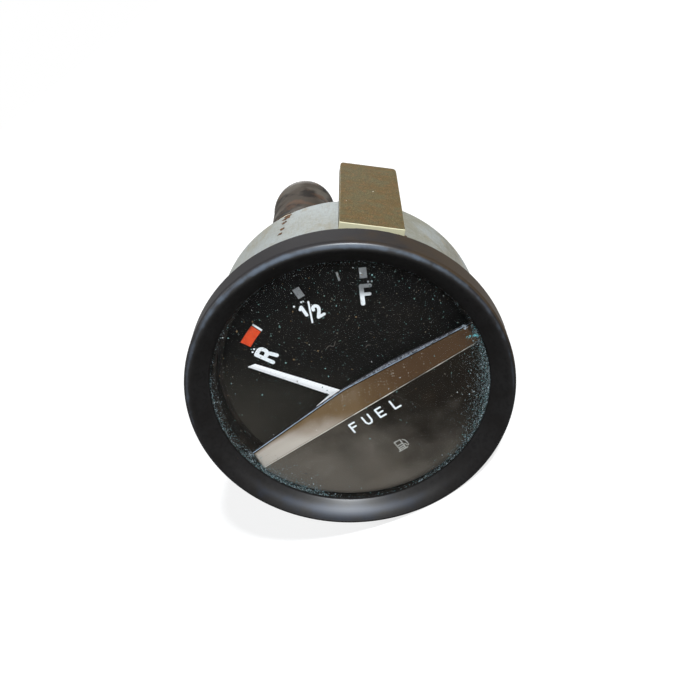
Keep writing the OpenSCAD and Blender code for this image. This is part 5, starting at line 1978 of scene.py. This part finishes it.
    def build(self) -> None:
        """Builds the studs, nuts and washers, and dresses the strap."""
        shop.refine("clamp_bracket", BRACKET_STEEL, Body.BRACKET, 0.12,
                    shaped=self.soften_strap)
        shop.make("threaded_studs", Skin.joined([self.stud(1), self.stud(-1)]), YELLOW_ZINC,
                  Body.GAUGE, ("mounting_studs",), smooth=60)
        shop.make("hexagon_nuts", Skin.joined([self.hex_nut(1), self.hex_nut(-1)]), YELLOW_ZINC,
                  Body.GAUGE, ("stud_nuts",), smooth=22)
        under = [self.washer(1, -21.7, 2.4), self.washer(-1, -22.5, 2.4)]
        shop.make("case_washers", Skin.joined(under), PLATED_STEEL, Body.GAUGE,
                  ("stud_washers",))
        over = [self.washer(1, -37.0, 2.65), self.washer(-1, -37.0, 2.65)]
        shop.make("strap_washers", Skin.joined(over), PLATED_STEEL, Body.BRACKET,
                  ("bracket_washers",))
        shop.make("thumb_nut_upper", self.knurled_nut(1), BRASS, Body.NUT_UPPER,
                  ("knurled_nut_upper",), smooth=38)
        shop.make("thumb_nut_lower", self.knurled_nut(-1), BRASS, Body.NUT_LOWER,
                  ("knurled_nut_lower",), smooth=38)


@dataclass
class Terminals:
    """The two blade terminals on their insulators, and the earth tab."""

    pitch: float = 15.0
    side: float = 13.5

    def insulator(self, centre: Spot) -> Skin:
        """Turns an insulator: a broad disc outside, a sleeve through the case and a washer.

        Args:
            centre: Where it stands.

        Returns:
            The closed ring.
        """
        outline = rounded_path((
            (1.22, -22.9, 0.05), (4.0, -22.9, 0.2), (4.0, -21.7, 0.12), (2.1, -21.7, 0.02),
            (2.1, -20.9, 0.02), (3.2, -20.9, 0.05), (3.2, -19.9, 0.1), (1.22, -19.9, 0.05)),
            closed=True, steps=4)
        return turned(outline, 64, centre, closed=True)

    def rivet(self, centre: Spot) -> Skin:
        """Turns a tubular rivet: a shank with a rolled head, hollow at the back.

        Args:
            centre: Where it stands.

        Returns:
            The closed rivet.
        """
        path = rounded_path((
            (0, -23.6, 0), (0.75, -23.6, 0.1), (0.8, -24.05, 0.15), (1.3, -24.3, 0.2),
            (2.2, -24.1, 0.25), (2.2, -23.7, 0.05), (1.2, -23.7, 0.02), (1.2, -19.9, 0.02),
            (2.2, -19.9, 0.05), (2.2, -19.3, 0.2), (0, -19.3, 0)), steps=4)
        return turned(path, 48, centre)

    def build(self) -> None:
        """Builds insulators and rivets, and dresses the blades."""
        spots = [strap_point(sign * self.pitch / 2, self.side) for sign in (1, -1)]
        shop.make("fibre_insulators", Skin.joined([self.insulator(p) for p in spots]), FIBRE,
                  Body.GAUGE, ("terminal_insulators",))
        shop.make("tubular_rivets", Skin.joined([self.rivet(p) for p in spots]), TINNED_BRASS,
                  Body.GAUGE, ("terminal_rivets",))
        shop.refine("terminal_blade_upper", TINNED_BRASS, Body.GAUGE, 0.07)
        shop.refine("terminal_blade_lower", TINNED_BRASS, Body.GAUGE, 0.07)
        shop.refine("earth_tab", YELLOW_ZINC, Body.GAUGE, 0.07)


@dataclass
class DialLamp:
    """The push-in lamp: its rubber boot outside, and holder, cap and glass inside."""

    centre: Spot = (2.138, 19.0605)
    radius: float = 6.42
    wall: float = 1.0
    start: float = -22.3
    straight: float = -38.39
    dome: float = 8.9
    inlet: float = 1.3

    def boot(self) -> Skin:
        """Turns the boot: a straight wall with a bead at its mouth, a quarter ellipse to the
        wire's inlet, and the same again inside; the wall is drawn in a little out of round.

        Returns:
            The closed boot.
        """
        turn = np.radians(np.linspace(0, 78.3, 16))[:, None]
        outer = np.concatenate([self.radius * np.cos(turn),
                                self.straight - self.dome * np.sin(turn)], axis=1)
        inner_r, inner_d = self.radius - self.wall, self.dome - self.wall
        back = np.radians(np.linspace(76, 0, 12))[:, None]
        inner = np.concatenate([inner_r * np.cos(back),
                                self.straight - inner_d * np.sin(back)], axis=1)
        side = np.linspace(self.start - 1.6, self.straight + 1.2, 9)
        wall = np.stack([self.radius - 0.12 - 0.12 * np.sin(
            (side - self.start) / (self.straight - self.start) * math.pi), side], axis=1)
        mouth = np.array([(self.radius - self.wall, self.start), (self.radius - 0.2, self.start),
                          (self.radius, self.start - 0.2), (self.radius, self.start - 0.8),
                          (self.radius - 0.1, self.start - 1.1)])
        neck = np.array([(self.inlet + 0.12, self.straight - self.dome - 0.12),
                         (self.inlet, self.straight - self.dome),
                         (self.inlet, self.straight - self.dome + 0.8)])
        profile = np.concatenate([mouth, wall, outer, neck, inner])
        skin = turned(profile, 96, closed=True)
        angle = np.arctan2(skin.points[:, 0], skin.points[:, 1])
        depth = (skin.points[:, 2] - self.start) / (self.straight - self.start)
        pinch = 1 - 0.008 * np.clip(depth, 0, 1) * (1 + np.cos(2 * angle + 0.6))
        skin.points[:, :2] *= pinch[:, None]
        return skin.moved((self.centre[0], self.centre[1], 0))

    def build(self) -> None:
        """Builds the boot and dresses the lamp."""
        shop.make("rubber_boot", self.boot(), BOOT_RUBBER, Body.LAMP, ("lamp_boot",), smooth=60)
        shop.refine("lamp_holder", BRASS, Body.LAMP, 0.08)
        shop.coat_node("lamp_cap", BRASS)
        shop.coat_node("lamp_glass", LAMP_CLEAR)
        shop.coat_node("lamp_contact", BRASS)
        shop.coat_node("lamp_insulator", FIBRE)


@dataclass(frozen=True)
class Viewpoint:
    """The camera, where the photograph was taken from, in the frame's millimetres."""

    place: Place = (47.54358, -134.764, 68.37367)
    right: Place = (0.81659, -0.00475, -0.57719)
    down: Place = (-0.50252, -0.49782, -0.70686)
    ahead: Place = (-0.28399, 0.86727, -0.40890)
    focal: float = 877.979
    width: int = 700
    sensor: float = 36.0

    def build(self) -> None:
        """Places the camera with the lens that gives the photograph's scale."""
        data = bpy.data.cameras.new("viewpoint")
        data.sensor_fit = "HORIZONTAL"
        data.sensor_width = self.sensor
        data.lens = self.focal / self.width * self.sensor
        data.clip_start = 0.001
        camera = bpy.data.objects.new("viewpoint", data)
        turn = Matrix((self.right, [-v for v in self.down], [-v for v in self.ahead]))
        camera.matrix_world = (Matrix.Translation(Vector(self.place) * MM)
                               @ turn.transposed().to_4x4())
        bpy.context.scene.collection.objects.link(camera)
        bpy.context.scene.camera = camera


@dataclass(frozen=True)
class Softbox:
    """A square area lamp that looks at the gauge."""

    name: str
    heading: Place
    distance: float
    size: float
    power: float
    colour: tuple[float, float, float]

    def build(self, target: Vector) -> None:
        """Places the lamp.

        Args:
            target: What it looks at, in metres.
        """
        data = bpy.data.lights.new(self.name, "AREA")
        data.shape = "SQUARE"
        data.size = self.size
        data.energy = self.power
        data.color = self.colour
        lamp = bpy.data.objects.new(self.name, data)
        heading = Vector(self.heading).normalized()
        lamp.location = target + heading * self.distance
        lamp.rotation_euler = heading.to_track_quat("Z", "Y").to_euler()
        bpy.context.scene.collection.objects.link(lamp)


@dataclass
class Studio:
    """The pale floor, its reach in metres, the white surround and the soft lamps."""

    floor_z: float = -29.02
    floor_reach: float = 60.0
    key: Softbox = Softbox("key softbox", (0.4785, -0.5807, 0.6586), 0.8, 0.05, 9.4,
                           (0.93, 0.97, 1.0))
    side: Softbox = Softbox("window softbox", (-0.62, -0.2, 0.76), 0.8, 0.26, 1.5,
                            (0.88, 0.94, 1.0))
    back: Softbox = Softbox("back softbox", (-0.04, 0.98, 0.07), 0.8, 0.26, 1.8,
                            (1.0, 1.0, 1.0))
    surround: float = 0.1
    aim: Place = (0.0, 0.006, 0.0)

    @staticmethod
    def seen(bench: NodeBench) -> Socket:
        """Adds a mask of camera, glossy and transmission rays.

        Args:
            bench: Adds nodes to the material or the surround.

        Returns:
            The mask.
        """
        rays = bench.node("LightPath").outputs
        first = bench.maths("MAXIMUM", rays["Is Camera Ray"], rays["Is Glossy Ray"])
        return bench.maths("MAXIMUM", first, rays["Is Transmission Ray"])

    def world(self) -> None:
        """Makes the surround: white where it is seen, a soft fill where it lights."""
        made = bpy.data.worlds.new("white surround")
        made.use_nodes = True
        bench = NodeBench(made.node_tree)
        back = made.node_tree.nodes["Background"].inputs
        bench.feed(back["Color"], (1.0, 1.0, 1.0, 1.0))
        bench.feed(back["Strength"], bench.mixed(self.seen(bench), self.surround, 1.0))
        bpy.context.scene.world = made

    def floor(self) -> None:
        """Lays the floor: pale, with its own glow where it is seen, so a shadow stays."""
        mesh = bpy.data.meshes.new("studio_floor")
        reach, z = self.floor_reach, self.floor_z * MM
        mesh.from_pydata([(-reach, -reach, z), (reach, -reach, z), (reach, reach, z),
                          (-reach, reach, z)], [], [(0, 1, 2, 3)])
        made = bpy.data.materials.new("studio floor")
        made.use_nodes = True
        bench = NodeBench(made.node_tree)
        shader = made.node_tree.nodes["Principled BSDF"].inputs
        bench.feed(shader["Base Color"], (0.3, 0.3, 0.3, 1.0))
        bench.feed(shader["Roughness"], 0.9)
        bench.feed(shader["Specular IOR Level"], 0.0)
        bench.feed(shader["Emission Color"], (1.0, 1.0, 1.0, 1.0))
        away = bench.node("VectorMath")
        away.operation = "LENGTH"
        bench.feed(away.inputs[0], bench.node("TexCoord").outputs["Object"])
        glow = bench.mixed(bench.ramp(away.outputs["Value"], 0.07, 0.3), 0.8, 1.0)
        bench.feed(shader["Emission Strength"], bench.maths("MULTIPLY", self.seen(bench), glow))
        mesh.materials.append(made)
        plane = bpy.data.objects.new("studio_floor", mesh)
        bpy.context.scene.collection.objects.link(plane)

    def build(self) -> None:
        """Builds the surround, the floor and the lamps, and sets the plain view."""
        self.world()
        self.floor()
        for lamp in (self.key, self.side, self.back):
            lamp.build(Vector(self.aim))
        bpy.context.scene.view_settings.view_transform = "Standard"


def main() -> None:
    """Builds the view, the studio and each sub-assembly in order."""
    logging.basicConfig(level=logging.INFO, format="%(name)s | %(message)s")
    Viewpoint().build()
    Studio().build()
    for assembly in (BezelRing(), FrontGlass(), DialMask(), Lettering(), PointerNeedle(),
                     CaseBody(), Movement(), ClampFittings(), Terminals(), DialLamp()):
        log.info("building %s", type(assembly).__name__)
        assembly.build()


if __name__ == "__main__":
    main()
